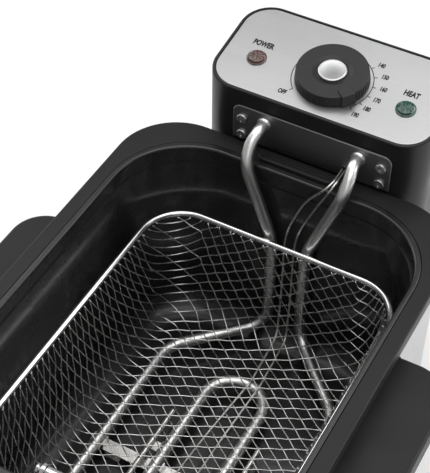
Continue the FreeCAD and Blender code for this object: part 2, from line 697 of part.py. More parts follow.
def element_inner_route():
    centre = ELEMENT_CENTRE_X
    mid_x = (LOOP_SIDE_X + LOOP_INNER_X) / 2
    return [vec(centre + mid_x, LOOP_FRONT_Y, ELEMENT_Z),
            vec(centre + LOOP_INNER_X, LOOP_FRONT_Y, ELEMENT_Z),
            vec(centre + LOOP_INNER_X, LOOP_BACK_Y, ELEMENT_Z),
            vec(centre - LOOP_INNER_X, LOOP_BACK_Y, ELEMENT_Z),
            vec(centre - LOOP_INNER_X, LOOP_FRONT_Y, ELEMENT_Z),
            vec(centre - mid_x, LOOP_FRONT_Y, ELEMENT_Z)]


def heating_element():
    front_bend = (LOOP_SIDE_X - LOOP_INNER_X) / 2 - 0.1
    back_bend = LOOP_INNER_X - 0.1
    radii = [12.0, 26.0, 60.0, 18.0, 34.0, front_bend]
    right = bent_rod(element_half_route(1), radii, TUBE_RADIUS)
    left = bent_rod(element_half_route(-1), radii, TUBE_RADIUS)
    inner_radii = [front_bend, back_bend, back_bend, front_bend]
    inner = bent_rod(element_inner_route(), inner_radii, TUBE_RADIUS)
    return right.fuse([inner, left]).removeSplitter()


def element_terminals():
    solids = []
    for side in (-1, 1):
        end = tube_exit(side, 24)
        bush = cylinder(3.4, end, end + vec(0, 4, 0))
        pin = cylinder(1.5, end + vec(0, 4, 0), end + vec(0, 14, 0))
        tab = box_between(end + vec(-3.2, 8, -0.5), end + vec(3.2, 20, 0.5))
        solids.append(bush.fuse([pin, tab]))
    return Part.makeCompound(solids)


def element_support():
    """Two straps under the runs of the M, each standing on the pot's floor on folded feet."""
    solids = []
    top = ELEMENT_Z - TUBE_RADIUS
    low = POT_FLOOR_Z + 1.0
    for y in (-190.0, -252.0):
        strap = box_between(vec(ELEMENT_CENTRE_X - 80, y - 5, top - STRAP_THICK),
                            vec(ELEMENT_CENTRE_X + 80, y + 5, top))
        for offset in (-60, 60):
            x = ELEMENT_CENTRE_X + offset
            leg = box_between(vec(x - 6, y - 5, low), vec(x - 6 + STRAP_THICK, y + 5, top))
            foot = box_between(vec(x - 6, y - 5, low), vec(x + 6, y + 5, low + STRAP_THICK))
            strap = strap.fuse([leg, foot])
        for x in (-LOOP_SIDE_X, -LOOP_INNER_X, LOOP_INNER_X, LOOP_SIDE_X):
            for side in (-1, 1):
                edge = ELEMENT_CENTRE_X + x + side * (TUBE_RADIUS + 0.6)
                ear = box_between(vec(edge - 0.5, y - 4, top), vec(edge + 0.5, y + 4, top + 4.5))
                strap = strap.fuse(ear)
        solids.append(strap)
    return Part.makeCompound(solids)


def bulb_x(side):
    return ELEMENT_CENTRE_X + side * (LOOP_INNER_X + 13.0)


def sensing_bulb(side):
    x = bulb_x(side)
    bulb = cylinder(BULB_RADIUS, vec(x, -140, ELEMENT_Z), vec(x, -226, ELEMENT_Z))
    ends = [e for e in bulb.Edges if e.BoundBox.YLength < 0.01]
    return bulb.makeFillet(2.0, ends)


def capillary(side):
    """Thin tube from the head, down between the stems, then over a run of the M to its bulb."""
    drop_x = ELEMENT_CENTRE_X + side * 4.0
    apart = vec(side * 1.1, 0, 0)
    over_run = ELEMENT_Z + TUBE_RADIUS + CAPILLARY_RADIUS + 0.7
    x = bulb_x(side)
    route = [capillary_exit(12) + apart,
             capillary_exit(-24) + apart,
             vec(drop_x + 14 + side * 1.0, STEM_Y + 4, -12),
             vec(drop_x, STEM_Y + 1, -48),
             vec(drop_x, STEM_Y + 1, -120),
             vec(drop_x + 6, STEM_Y - 16, ELEMENT_Z + 9),
             vec(drop_x + 8, -92, over_run),
             vec(drop_x + 2 + side * 2, -150, ELEMENT_Z + 1),
             vec(drop_x + side * 4, -238, over_run),
             vec(x, -258, over_run),
             vec(x, -240, ELEMENT_Z),
             vec(x, -226, ELEMENT_Z)]
    radii = [10.0, 60.0, 100.0, 30.0, 14.0, 40.0, 60.0, 30.0, 6.0, 6.0]
    return bent_rod(route, radii, CAPILLARY_RADIUS)


def clip_loop(radius, x, y):
    return ring(radius + 0.9, radius, vec(x, y - 4, ELEMENT_Z), vec(x, y + 4, ELEMENT_Z))


def bulb_clips():
    solids = []
    for side in (-1, 1):
        x = bulb_x(side)
        leg_x = ELEMENT_CENTRE_X + side * LOOP_INNER_X
        for y in (-176.0, -214.0):
            around_bulb = clip_loop(BULB_RADIUS, x, y)
            around_leg = clip_loop(TUBE_RADIUS, leg_x, y)
            near = min(x, leg_x) + (BULB_RADIUS if side < 0 else TUBE_RADIUS) + 0.3
            far = max(x, leg_x) - (TUBE_RADIUS if side < 0 else BULB_RADIUS) - 0.3
            bridge = box_between(vec(near, y - 4, ELEMENT_Z - 0.5), vec(far, y + 4, ELEMENT_Z + 0.5))
            solids.append(around_bulb.fuse([around_leg, bridge]))
    return Part.makeCompound(solids)


# ---- electrical parts inside the head ----------------------------------------------------

def thermostat_body():
    top = -PANEL_RECESS - PANEL_THICK - 4.0
    can = rounded_block(18, DIAL_V + 16, DIAL_V - 16, 4, top - 22, top)
    bush = cylinder(5.0, vec(0, DIAL_V, top), vec(0, DIAL_V, top + 3.2))
    body = can.fuse(bush)
    for dx in (-10, 10):
        blade = box_between(vec(dx - 3, DIAL_V - 24, top - 18), vec(dx + 3, DIAL_V - 16, top - 17.2))
        body = body.fuse(blade)
    bore = cylinder(SHAFT_RADIUS + RUNNING_GAP, vec(0, DIAL_V, top - 12), vec(0, DIAL_V, top + 9))
    return tilt(body.cut(bore))


def cutout_body():
    face = HEAD_BACK_Y - HEAD_WALL - 2.6
    can = box_between(vec(RESET_X - 12, face - 26, RESET_Z - 10), vec(RESET_X + 12, face - 7, RESET_Z + 10))
    neck = ring(6.0, 4.3, vec(RESET_X, face - 7, RESET_Z), vec(RESET_X, face, RESET_Z))
    return can.fuse(neck)


def reset_button():
    face = HEAD_BACK_Y
    start = vec(RESET_X, face - 9.6, RESET_Z)
    button = cylinder(4.0, start, vec(RESET_X, face + 2.6, RESET_Z))
    return button.makeFillet(1.0, [e for e in button.Edges if e.BoundBox.YMin > face + 2.5])


def microswitch():
    low = HEAD_BOTTOM_Z + 14.0
    case = box_between(vec(INTERLOCK_X - 10, INTERLOCK_Y - 4, low),
                       vec(INTERLOCK_X + 10, INTERLOCK_Y + 4, low + 13))
    for dx in (-7, 0, 7):
        case = case.fuse(box_between(vec(INTERLOCK_X + dx - 1.5, INTERLOCK_Y - 0.4, low + 13),
                                     vec(INTERLOCK_X + dx + 1.5, INTERLOCK_Y + 0.4, low + 19)))
    foot = box_between(vec(INTERLOCK_X + 10, INTERLOCK_Y - 4, HEAD_BOTTOM_Z + 2.5),
                       vec(INTERLOCK_X + 12, INTERLOCK_Y + 4, low + 10))
    return case.fuse(foot)


def interlock_plunger():
    foot = vec(INTERLOCK_X, INTERLOCK_Y, HEAD_BOTTOM_Z)
    pin = cylinder(PLUNGER_RADIUS, foot - vec(0, 0, 2.5), foot + vec(0, 0, 11.5))
    collar = cylinder(4.2, foot + vec(0, 0, 2.8), foot + vec(0, 0, 4.0))
    return pin.fuse(collar)


def plunger_spring():
    low = vec(INTERLOCK_X, INTERLOCK_Y, HEAD_BOTTOM_Z + 4.2)
    return ring(4.0, 3.2, low, vec(INTERLOCK_X, INTERLOCK_Y, HEAD_BOTTOM_Z + 13.8))


def terminal_block():
    block = box_between(vec(-20, 34, HEAD_BOTTOM_Z + 2.5), vec(12, 50, HEAD_BOTTOM_Z + 17))
    for index in range(3):
        x = -15 + index * 10.5
        block = block.cut(cylinder(2.4, vec(x, 42, HEAD_BOTTOM_Z + 11), vec(x, 42, HEAD_BOTTOM_Z + 18)))
        block = block.cut(cylinder(1.8, vec(x, 30, HEAD_BOTTOM_Z + 8), vec(x, 54, HEAD_BOTTOM_Z + 8)))
    return block


# ---- knob --------------------------------------------------------------------------------

def knob_body():
    low = -PANEL_RECESS + KNOB_GAP
    top = low + KNOB_HEIGHT
    centre = vec(0, DIAL_V, 0)
    foot = centre + vec(0, 0, low)
    skirt = Part.makeCone(KNOB_RADIUS, KNOB_RADIUS - 0.9, KNOB_HEIGHT, foot, Z_AXIS)
    skirt = skirt.makeFillet(0.9, edges_at(skirt, top))
    recess_radius = KNOB_CAP_RADIUS + 1.4
    recess = cylinder(recess_radius, centre + vec(0, 0, top - KNOB_RECESS), centre + vec(0, 0, top + 1))
    rim_of_dish = centre + vec(0, 0, top - 1.2)
    dish = Part.makeCone(recess_radius, KNOB_CAP_RADIUS + 4.2, 1.2, rim_of_dish, Z_AXIS)
    body = skirt.cut(recess).cut(dish)
    for index in range(72):
        angle = index * 5.0
        if abs((angle - KNOB_POINTER_ANGLE + 180) % 360 - 180) < 15:
            continue
        rib = box_between(vec(KNOB_RADIUS - 1.1, -0.45, low - 1),
                          vec(KNOB_RADIUS + 2, 0.45, top - KNOB_PLAIN_EDGE))
        rib.rotate(vec(0, 0, 0), Z_AXIS, angle)
        rib.translate(centre)
        body = body.cut(rib)
    lug = knob_pointer(top)
    lug.rotate(vec(0, 0, 0), Z_AXIS, KNOB_POINTER_ANGLE)
    lug.translate(centre)
    bore = cylinder(SHAFT_RADIUS, foot - vec(0, 0, 1), centre + vec(0, 0, top - SHAFT_STOP))
    hollow = ring(KNOB_RADIUS - 3.5, 6.0, foot - vec(0, 0, 1), foot + vec(0, 0, KNOB_HOLLOW))
    return tilt(body.fuse(lug).cut(bore).cut(hollow))


def knob_pointer(top):
    """Raised rounded pointer, drawn along +X from the knob's axis."""
    inner_end = KNOB_RADIUS - 5.5
    outer_end = KNOB_RADIUS + 0.9
    half = POINTER_WIDTH / 2
    crest = top + POINTER_RISE
    round_end = cylinder(half, vec(inner_end, 0, top - 2), vec(inner_end, 0, crest))
    bar = box_between(vec(inner_end, -half, top - 2), vec(outer_end, half, crest))
    skirt = box_between(vec(KNOB_RADIUS - 3, -half, top - KNOB_HEIGHT), vec(outer_end, half, top))
    lug = round_end.fuse([bar, skirt]).removeSplitter()
    return lug.makeFillet(0.7, edges_at(lug, crest))


def knob_cap():
    low = -PANEL_RECESS + KNOB_GAP + KNOB_HEIGHT - KNOB_RECESS
    top = low + KNOB_CAP_HEIGHT
    centre = vec(0, DIAL_V, 0)
    cap = cylinder(KNOB_CAP_RADIUS, centre + vec(0, 0, low), centre + vec(0, 0, top))
    cap = cap.makeFillet(0.8, edges_at(cap, top))
    dish_radius = 60.0
    dish = Part.makeSphere(dish_radius, centre + vec(0, 0, top + dish_radius - 0.7))
    return tilt(cap.cut(dish))


def knob_shaft():
    low = -PANEL_RECESS - PANEL_THICK - 4.0 - 11.5
    top = -PANEL_RECESS + KNOB_GAP + KNOB_HEIGHT - SHAFT_STOP
    return tilt(cylinder(SHAFT_RADIUS, vec(0, DIAL_V, low), vec(0, DIAL_V, top)))


# ---- basket ------------------------------------------------------------------------------

def basket_rim():
    path = rounded_wire(BASKET_HALF_WIDTH, BASKET_BACK_Y, BASKET_FRONT_Y, BASKET_CORNER, BASKET_RIM_Z)
    straight = [edge for edge in path.Edges if edge.Curve.TypeId == "Part::GeomLine"]
    pieces = []
    for edge in straight:
        ends = [vertex.Point for vertex in edge.Vertexes]
        pieces.append(cylinder(BASKET_WIRE, ends[0], ends[1]))
    for side in (-1, 1):
        for y_end, inward in ((BASKET_BACK_Y, -1), (BASKET_FRONT_Y, 1)):
            centre = vec(side * (BASKET_HALF_WIDTH - BASKET_CORNER),
                         y_end + inward * BASKET_CORNER, BASKET_RIM_Z)
            turn = Part.makeTorus(BASKET_CORNER, BASKET_WIRE, centre, Z_AXIS)
            middle = centre + vec(side * 25, -inward * 25, 0)
            quarter = box_between(middle - vec(25, 25, 5), middle + vec(25, 25, 5))
            pieces.append(turn.common(quarter))
    return pieces[0].fuse(pieces[1:]).removeSplitter()


def basket_block(inset, floor_z, floor_radius):
    """Tapered tub, set in by the mesh's thickness for the inside."""
    under = BASKET_WIRE + 0.2 + inset
    top = rounded_wire(BASKET_HALF_WIDTH - under, BASKET_BACK_Y - under, BASKET_FRONT_Y + under,
                       BASKET_CORNER - BASKET_WIRE - inset, BASKET_RIM_Z + 1.0)
    down = BASKET_TAPER + inset
    floor = rounded_wire(BASKET_HALF_WIDTH - down, BASKET_BACK_Y - down, BASKET_FRONT_Y + down,
                         BASKET_CORNER - 6.0 - inset, floor_z)
    tub = Part.makeLoft([floor, top], True, True)
    return tub.makeFillet(floor_radius, edges_at(tub, floor_z))


def basket_mesh():
    outer = basket_block(0, BASKET_FLOOR_Z - BASKET_MESH, BASKET_FLOOR_RADIUS + BASKET_MESH)
    inner = basket_block(BASKET_MESH, BASKET_FLOOR_Z, BASKET_FLOOR_RADIUS)
    return outer.cut(inner)


def basket_bracket():
    """Two uprights inside the front of the basket, joined below, with a hinge ear on each."""
    y = BASKET_FRONT_Y + BASKET_WIRE + 4.0
    low = BASKET_RIM_Z - 34.0
    left = [vec(-BRACKET_X, HINGE_Y + 1, HINGE_Z - 8), vec(-BRACKET_X, y, HINGE_Z - 22),
            vec(-BRACKET_X, y + 0.8, BASKET_RIM_Z), vec(-BRACKET_X, y + 5.6, low)]
    right = [vec(-point.x, point.y, point.z) for point in reversed(left)]
    wire = bent_rod(left + right, [12.0, 60.0, 8.0, 8.0, 60.0, 12.0], 1.8)
    ears = []
    for side in (-1, 1):
        x = side * BRACKET_X
        ear = cylinder(5.4, vec(x - 1.2, HINGE_Y, HINGE_Z), vec(x + 1.2, HINGE_Y, HINGE_Z))
        stem = box_between(vec(x - 1.2, HINGE_Y - 3.5, HINGE_Z - 11), vec(x + 1.2, HINGE_Y + 4.5, HINGE_Z))
        ears.append(ear.fuse(stem))
    tie = box_between(vec(-BRACKET_X, HINGE_Y - 0.6, HINGE_Z - 11),
                      vec(BRACKET_X, HINGE_Y + 3.4, HINGE_Z - 8.5))
    bracket = wire.fuse(ears + [tie])
    bore = cylinder(2.0, vec(-30, HINGE_Y, HINGE_Z), vec(30, HINGE_Y, HINGE_Z))
    return bracket.cut(bore)


def basket_clips():
    """Sheet clips that clamp the bracket's uprights to the rim wire."""
    solids = []
    for side in (-1, 1):
        x = side * BRACKET_X
        reach = BASKET_WIRE + 0.9
        low = vec(x - 4, BASKET_FRONT_Y - reach, BASKET_RIM_Z - reach)
        high = vec(x + 4, BASKET_FRONT_Y + reach + 8.0, BASKET_RIM_Z + reach)
        clip = box_between(low, high)
        clip = clip.cut(box_between(low + vec(-1, 0.8, 0.8), high + vec(1, -0.8, -0.8)))
        upright = vec(x, BASKET_FRONT_Y + BASKET_WIRE + 4.9, BASKET_RIM_Z)
        hole = cylinder(2.5, upright - vec(0, 0, 6), upright + vec(0, 0, 6))
        solids.append(clip.cut(hole))
    return Part.makeCompound(solids)


def hinge_pin():
    pin = cylinder(1.95, vec(-20.5, HINGE_Y, HINGE_Z), vec(20.5, HINGE_Y, HINGE_Z))
    heads = [cylinder(3.4, vec(x, HINGE_Y, HINGE_Z), vec(x + 1.6, HINGE_Y, HINGE_Z)) for x in (-22.1, 20.5)]
    return pin.fuse(heads)


# ---- basket handle -----------------------------------------------------------------------

def along_handle(shape):
    """Moves a shape drawn with the hinge at the origin and the handle along -Y into place."""
    moved = shape.copy()
    moved.rotate(vec(0, 0, 0), X_AXIS, -HANDLE_RISE)
    moved.translate(vec(0, HINGE_Y, HINGE_Z))
    return moved


def handle_frame():
    """Barrel round the hinge pin with two wires that run into the grip."""
    barrel = cylinder(4.4, vec(-15.2, 0, 0), vec(15.2, 0, 0))
    wires = []
    for side in (-1, 1):
        route = [vec(side * 12.5, -2, 0), vec(side * 12.5, -18, 0),
                 vec(side * GRIP_WIRE_X, -34, 0), vec(side * GRIP_WIRE_X, -GRIP_START - 60, 0)]
        wires.append(bent_rod(route, [16.0, 16.0], 2.2))
    frame = barrel.fuse(wires)
    frame = frame.cut(cylinder(2.0, vec(-20, 0, 0), vec(20, 0, 0)))
    return along_handle(frame)


def grip_section(half_width, half_height, y):
    """Rounded oblong, upright across the handle."""
    radius = half_height * 0.85
    block = Part.makeBox(2 * half_width, 1.0, 2 * half_height, vec(-half_width, y, -half_height))
    block = block.makeFillet(radius, [e for e in block.Edges if e.BoundBox.YLength > 0.9])
    faces = sorted(block.Faces, key=lambda face: face.CenterOfMass.y)
    return faces[0].OuterWire


def handle_grip():
    stations = [(11.5, 7.6, 0.0), (12.6, 8.6, 0.12), (12.0, 8.4, 0.38), (13.2, 9.2, 0.66),
                (13.8, 9.4, 0.88), (12.2, GRIP_TIP_HALF_HEIGHT, 1.0)]
    wires = [grip_section(w, h, -GRIP_START - GRIP_LENGTH * t) for w, h, t in stations]
    grip = Part.makeLoft(wires, True, False)
    for side in (-1, 1):
        mouth = vec(side * GRIP_WIRE_X, -GRIP_START + 2, 0)
        grip = grip.cut(cylinder(2.2, mouth, mouth - vec(0, 63, 0)))
    track = box_between(vec(-6.3, -GRIP_START - 40, 4.5), vec(6.3, -GRIP_START - 14, 12))
    return along_handle(grip.cut(track))


def fold_latch():
    """Thumb slide in the top of the grip, which locks the folding handle."""
    base = box_between(vec(-6.0, -GRIP_START - 33, 4.8), vec(6.0, -GRIP_START - 15, 8.0))
    pad = box_between(vec(-5.4, -GRIP_START - 31, 8.0), vec(5.4, -GRIP_START - 17, 10.6))
    latch = base.fuse(pad)
    latch = latch.makeFillet(0.8, edges_at(latch, 10.6))
    for index in range(4):
        y = -GRIP_START - 28.6 + index * 3.2
        latch = latch.cut(box_between(vec(-7, y, 9.9), vec(7, y + 1.2, 12)))
    return along_handle(latch)


def main():
    os.makedirs("parts", exist_ok=True)
    right_handle = carry_handle()
    shapes = {
        "outer_sleeve": outer_sleeve(), "top_bezel": top_bezel(), "base_tray": base_tray(),
        "rubber_feet": rubber_feet(), "base_screws": base_screws(),
        "right_carry_handle": right_handle, "left_carry_handle": mirror_x(right_handle),
        "carry_handle_screws": handle_screws(), "head_guide_rails": head_guide_rails(),
        "rail_screws": rail_screws(), "rim_rest_pad": rim_rest_pad(), "oil_pot": oil_pot(),
        "head_shell": head_shell(), "control_panel": control_panel(),
        "head_bottom_cover": head_bottom_cover(), "bottom_cover_screws": bottom_screws(),
        "head_back_cover": head_back_cover(), "back_cover_screws": cover_screws(),
        "cord_gland": cord_gland(), "power_lamp_lens": lamp_lens(-1),
        "heat_lamp_lens": lamp_lens(1), "lamp_holders": lamp_holders(),
        "element_mount_plate": element_mount_plate(), "plate_gasket": plate_gasket(),
        "plate_screws": plate_screws(), "head_chassis": head_chassis(),
        "element_ferrules": element_ferrules(), "heating_element": heating_element(),
        "element_terminals": element_terminals(), "element_support": element_support(),
        "thermostat_bulb": sensing_bulb(-1), "thermostat_capillary": capillary(-1),
        "cutout_bulb": sensing_bulb(1), "cutout_capillary": capillary(1),
        "bulb_clips": bulb_clips(), "thermostat_body": thermostat_body(),
        "cutout_body": cutout_body(), "reset_button": reset_button(),
        "microswitch": microswitch(), "interlock_plunger": interlock_plunger(),
        "plunger_spring": plunger_spring(), "terminal_block": terminal_block(),
        "knob_body": knob_body(), "knob_cap": knob_cap(), "knob_shaft": knob_shaft(),
        "basket_rim": basket_rim(), "basket_mesh": basket_mesh(),
        "basket_bracket": basket_bracket(), "basket_clips": basket_clips(),
        "hinge_pin": hinge_pin(), "handle_frame": handle_frame(),
        "handle_grip": handle_grip(), "fold_latch": fold_latch(),
    }
    with_basket = ("basket_rim", "basket_mesh", "basket_bracket", "basket_clips", "hinge_pin",
                   "handle_frame", "handle_grip", "fold_latch")
    for name in with_basket:
        shapes[name].translate(vec(BASKET_CENTRE_X, 0, 0))
    for name, shape in shapes.items():
        save(name, shape)


main()
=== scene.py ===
import json
import math

import bpy
import numpy as np
from mathutils import Matrix, Vector


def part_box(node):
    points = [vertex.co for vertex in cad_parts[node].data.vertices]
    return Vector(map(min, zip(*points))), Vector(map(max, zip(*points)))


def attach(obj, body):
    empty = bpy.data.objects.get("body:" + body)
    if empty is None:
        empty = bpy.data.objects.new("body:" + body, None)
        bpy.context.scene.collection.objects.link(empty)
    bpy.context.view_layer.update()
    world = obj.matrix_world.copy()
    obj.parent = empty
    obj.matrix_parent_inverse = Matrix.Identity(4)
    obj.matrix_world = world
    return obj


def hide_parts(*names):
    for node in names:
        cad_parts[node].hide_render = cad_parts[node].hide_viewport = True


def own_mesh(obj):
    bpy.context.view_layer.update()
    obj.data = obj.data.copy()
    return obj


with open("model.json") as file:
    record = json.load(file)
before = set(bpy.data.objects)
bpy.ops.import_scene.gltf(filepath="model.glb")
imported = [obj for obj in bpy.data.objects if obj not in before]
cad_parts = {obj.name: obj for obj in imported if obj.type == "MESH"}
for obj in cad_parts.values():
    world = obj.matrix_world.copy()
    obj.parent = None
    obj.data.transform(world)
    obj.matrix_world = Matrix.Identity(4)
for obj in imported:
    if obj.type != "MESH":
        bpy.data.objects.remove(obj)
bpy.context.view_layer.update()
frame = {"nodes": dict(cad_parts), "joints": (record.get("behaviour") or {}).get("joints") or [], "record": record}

# Lengths are metres and angles degrees. MM turns a millimetre into metres.
MM = 0.001

# ---- camera ---------------------------------------------------------------------------------
CAMERA_AZIMUTH = 28.13
CAMERA_ELEVATION = 46.21
CAMERA_ROLL = 0.65
CAMERA_DISTANCE = 0.9219
CAMERA_LENS = 101.0                               # focal length in mm
CAMERA_NEAREST = 0.05
CAMERA_AIM = (-21.9 * MM, -97.9 * MM, 0.0)        # from the back edge of the rim's top face

# ---- control panel --------------------------------------------------------------------------
PANEL_SLOPE = 8.5
PRINT_LIFT = 0.06 * MM
PRINT_THICKNESS = 0.05 * MM
ARC_RADIUS = 30.0 * MM
ARC_WIDTH = 0.62 * MM
TICK_END = 32.6 * MM
NUMBER_RADIUS = 38.0 * MM
OFF_ANGLE = -136.5
SCALE_MARKS = ((140, 45.0), (150, 27.0), (160, 9.0), (170, -8.6), (180, -25.0), (190, -40.0))
NUMBER_SIZE = 5.7 * MM
NUMBER_NARROW = 0.64
LABEL_SIZE = 7.2 * MM
LABEL_NARROW = 0.66
LABEL_SHIFT = (-1.6 * MM, 14.6 * MM)              # from the middle of the lamp
TYPE_WEIGHT = 0.045                               # letters are thickened by this share of their size
FACE_DEPTH = 0.02 * MM                            # points this close to a top face belong to it

# ---- lamp lenses ----------------------------------------------------------------------------
LAMP_FACETS = 12
LAMP_CROWN = 3.0 * MM                             # height of the lens from its foot to its crown
LAMP_MIDDLE = 0.12 * MM                           # the centre point stands this far above the crown
LAMP_FACET_DROP = 0.22 * MM                       # every second point of a faceted row is lower
LAMP_PLAIN_ROWS = 5                               # rows of the round collar, below the facets
LAMP_PROFILE = (                                  # share of the lens's radius, height
    (1.0, 0.0), (1.0, 0.75 * MM), (0.97, 0.95 * MM), (0.92, 1.0 * MM), (0.89, 1.0 * MM),
    (0.86, 1.1 * MM), (0.86, 1.9 * MM), (0.78, 2.45 * MM), (0.56, 2.85 * MM), (0.26, LAMP_CROWN))

# ---- coil spring of the interlock -----------------------------------------------------------
SPRING_WIRE = 0.35 * MM                           # radius
SPRING_TURNS = 7
SPRING_STEPS = 20                                 # in each turn
SPRING_CLOSING = 0.055                            # how far the end turns close up

# ---- woven wire of the basket ---------------------------------------------------------------
GAUZE_WIRE = 0.46 * MM                            # radius
GAUZE_CRIMP = 0.44 * MM
GAUZE_SIDES = 6
GAUZE_STEP = 1.9 * MM
SHEET_THICKNESS = 1.6 * MM                        # of the solid that the woven wire replaces
MOUTH_CORNER = 32.0 * MM
FLOOR_CORNER_LESS = 2.0 * MM                      # the floor's corners are this much tighter
FLOOR_BEND = 18.0 * MM
FLOOR_INSET = 9.8 * MM                            # the floor is this much narrower than the mouth
WARP_ANGLE = 27.0
WEFT_ANGLE = -37.0
WARP_PITCH = 9.26 * MM
WEFT_PITCH = 8.2 * MM
WALL_GATHER = 0.64                                # share by which the walls crowd the weave
WALL_PULL = 0.15                                  # drift of the weave up the walls, outwards
WALL_SKEW_BACK = -0.25                            # and sideways, on the back and front walls
WALL_SKEW_SIDE = -0.25                            # and on the side walls
WEAVE_SHIFT = 0.137                               # keeps the wires off the grid's own points
SHORTEST_WIRE = 4                                 # steps; shorter ends are left out
SIDE_STEPS = 44                                   # of the grid, along a side
CORNER_STEPS = 20
WALL_STEPS = 40
FLOOR_RINGS = (0.02, 0.34, 0.67)                  # shares of the flat floor

# ---- studio ---------------------------------------------------------------------------------
FLOOR_HALF = 6.0
AIR_STRENGTH = 0.36
STUDIO_AIM = (0.0, -0.15, 0.0)                    # from the back edge of the rim's top face
STUDIO_LIGHTS = (                                 # name, place from the aim, size, watts
    ("overhead", (0.1, 0.1, 1.7), (2.4, 1.9), 27.0),
    ("window_left", (-1.3, 0.6, 0.9), (1.0, 1.0), 6.0),
    ("back_right", (1.3, 1.1, 0.65), (1.4, 0.9), 12.0),
    ("front_fill", (0.9, -1.3, 1.0), (1.0, 1.0), 2.0))


def rim_point(x, y, z):
    """A point given from the middle of the rim's back edge, on its top face."""
    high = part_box("top_bezel")[1]
    return Vector((x, high.y + y, high.z + z))


# ---- mesh helpers ---------------------------------------------------------------------------

def new_piece(name, vertices, faces, smooth=True):
    mesh = bpy.data.meshes.new(name)
    mesh.from_pydata([tuple(v) for v in vertices], [], faces)
    mesh.update()
    mesh.polygons.foreach_set("use_smooth", [smooth] * len(mesh.polygons))
    piece = bpy.data.objects.new(name, mesh)
    bpy.context.scene.collection.objects.link(piece)
    return piece


def tube_along(points, normals, radius, sides):
    """Vertices and faces of a round wire with closed ends. One normal is given for each point."""
    points = np.asarray(points)
    normals = np.asarray(normals)
    heading = np.gradient(points, axis=0)
    heading /= np.linalg.norm(heading, axis=1)[:, None]
    across = np.cross(heading, normals)
    across /= np.linalg.norm(across, axis=1)[:, None]
    upright = np.cross(across, heading)
    rings = []
    for index in range(sides):
        angle = 2 * math.pi * index / sides
        rings.append(points + radius * (math.cos(angle) * across + math.sin(angle) * upright))
    vertices = np.stack(rings, axis=1).reshape(-1, 3)
    faces = []
    for row in range(len(points) - 1):
        for side in range(sides):
            first = row * sides + side
            second = row * sides + (side + 1) % sides
            faces.append((first, second, second + sides, first + sides))
    faces.append(tuple(range(sides))[::-1])
    last = (len(points) - 1) * sides
    faces.append(tuple(range(last, last + sides)))
    return vertices, faces


def join_meshes(chunks):
    vertices = []
    faces = []
    for chunk_vertices, chunk_faces in chunks:
        offset = len(vertices)
        vertices.extend(chunk_vertices)
        faces.extend(tuple(index + offset for index in face) for face in chunk_faces)
    return vertices, faces


# ---- woven basket ---------------------------------------------------------------------------

def rounded_outline(half_x, half_y, corner):
    """Points and outward normals of a rounded rectangle, the same count for any size."""
    points = []
    normals = []
    quarter_turns = ((1, 1), (-1, 1), (-1, -1), (1, -1))
    for quarter, (sx, sy) in enumerate(quarter_turns):
        hub = np.array((sx * (half_x - corner), sy * (half_y - corner)))
        start = quarter * 90.0
        for step in range(CORNER_STEPS + 1):
            angle = math.radians(start + 90.0 * step / CORNER_STEPS)
            normal = np.array((math.cos(angle), math.sin(angle)))
            points.append(hub + corner * normal)
            normals.append(normal)
        next_sx, next_sy = quarter_turns[(quarter + 1) % 4]
        goal = np.array((next_sx * (half_x - corner), next_sy * (half_y - corner)))
        normal = normals[-1]
        begin = points[-1]
        end = goal + corner * normal
        for step in range(1, SIDE_STEPS):
            points.append(begin + (end - begin) * step / SIDE_STEPS)
            normals.append(normal)
    return np.array(points), np.array(normals)


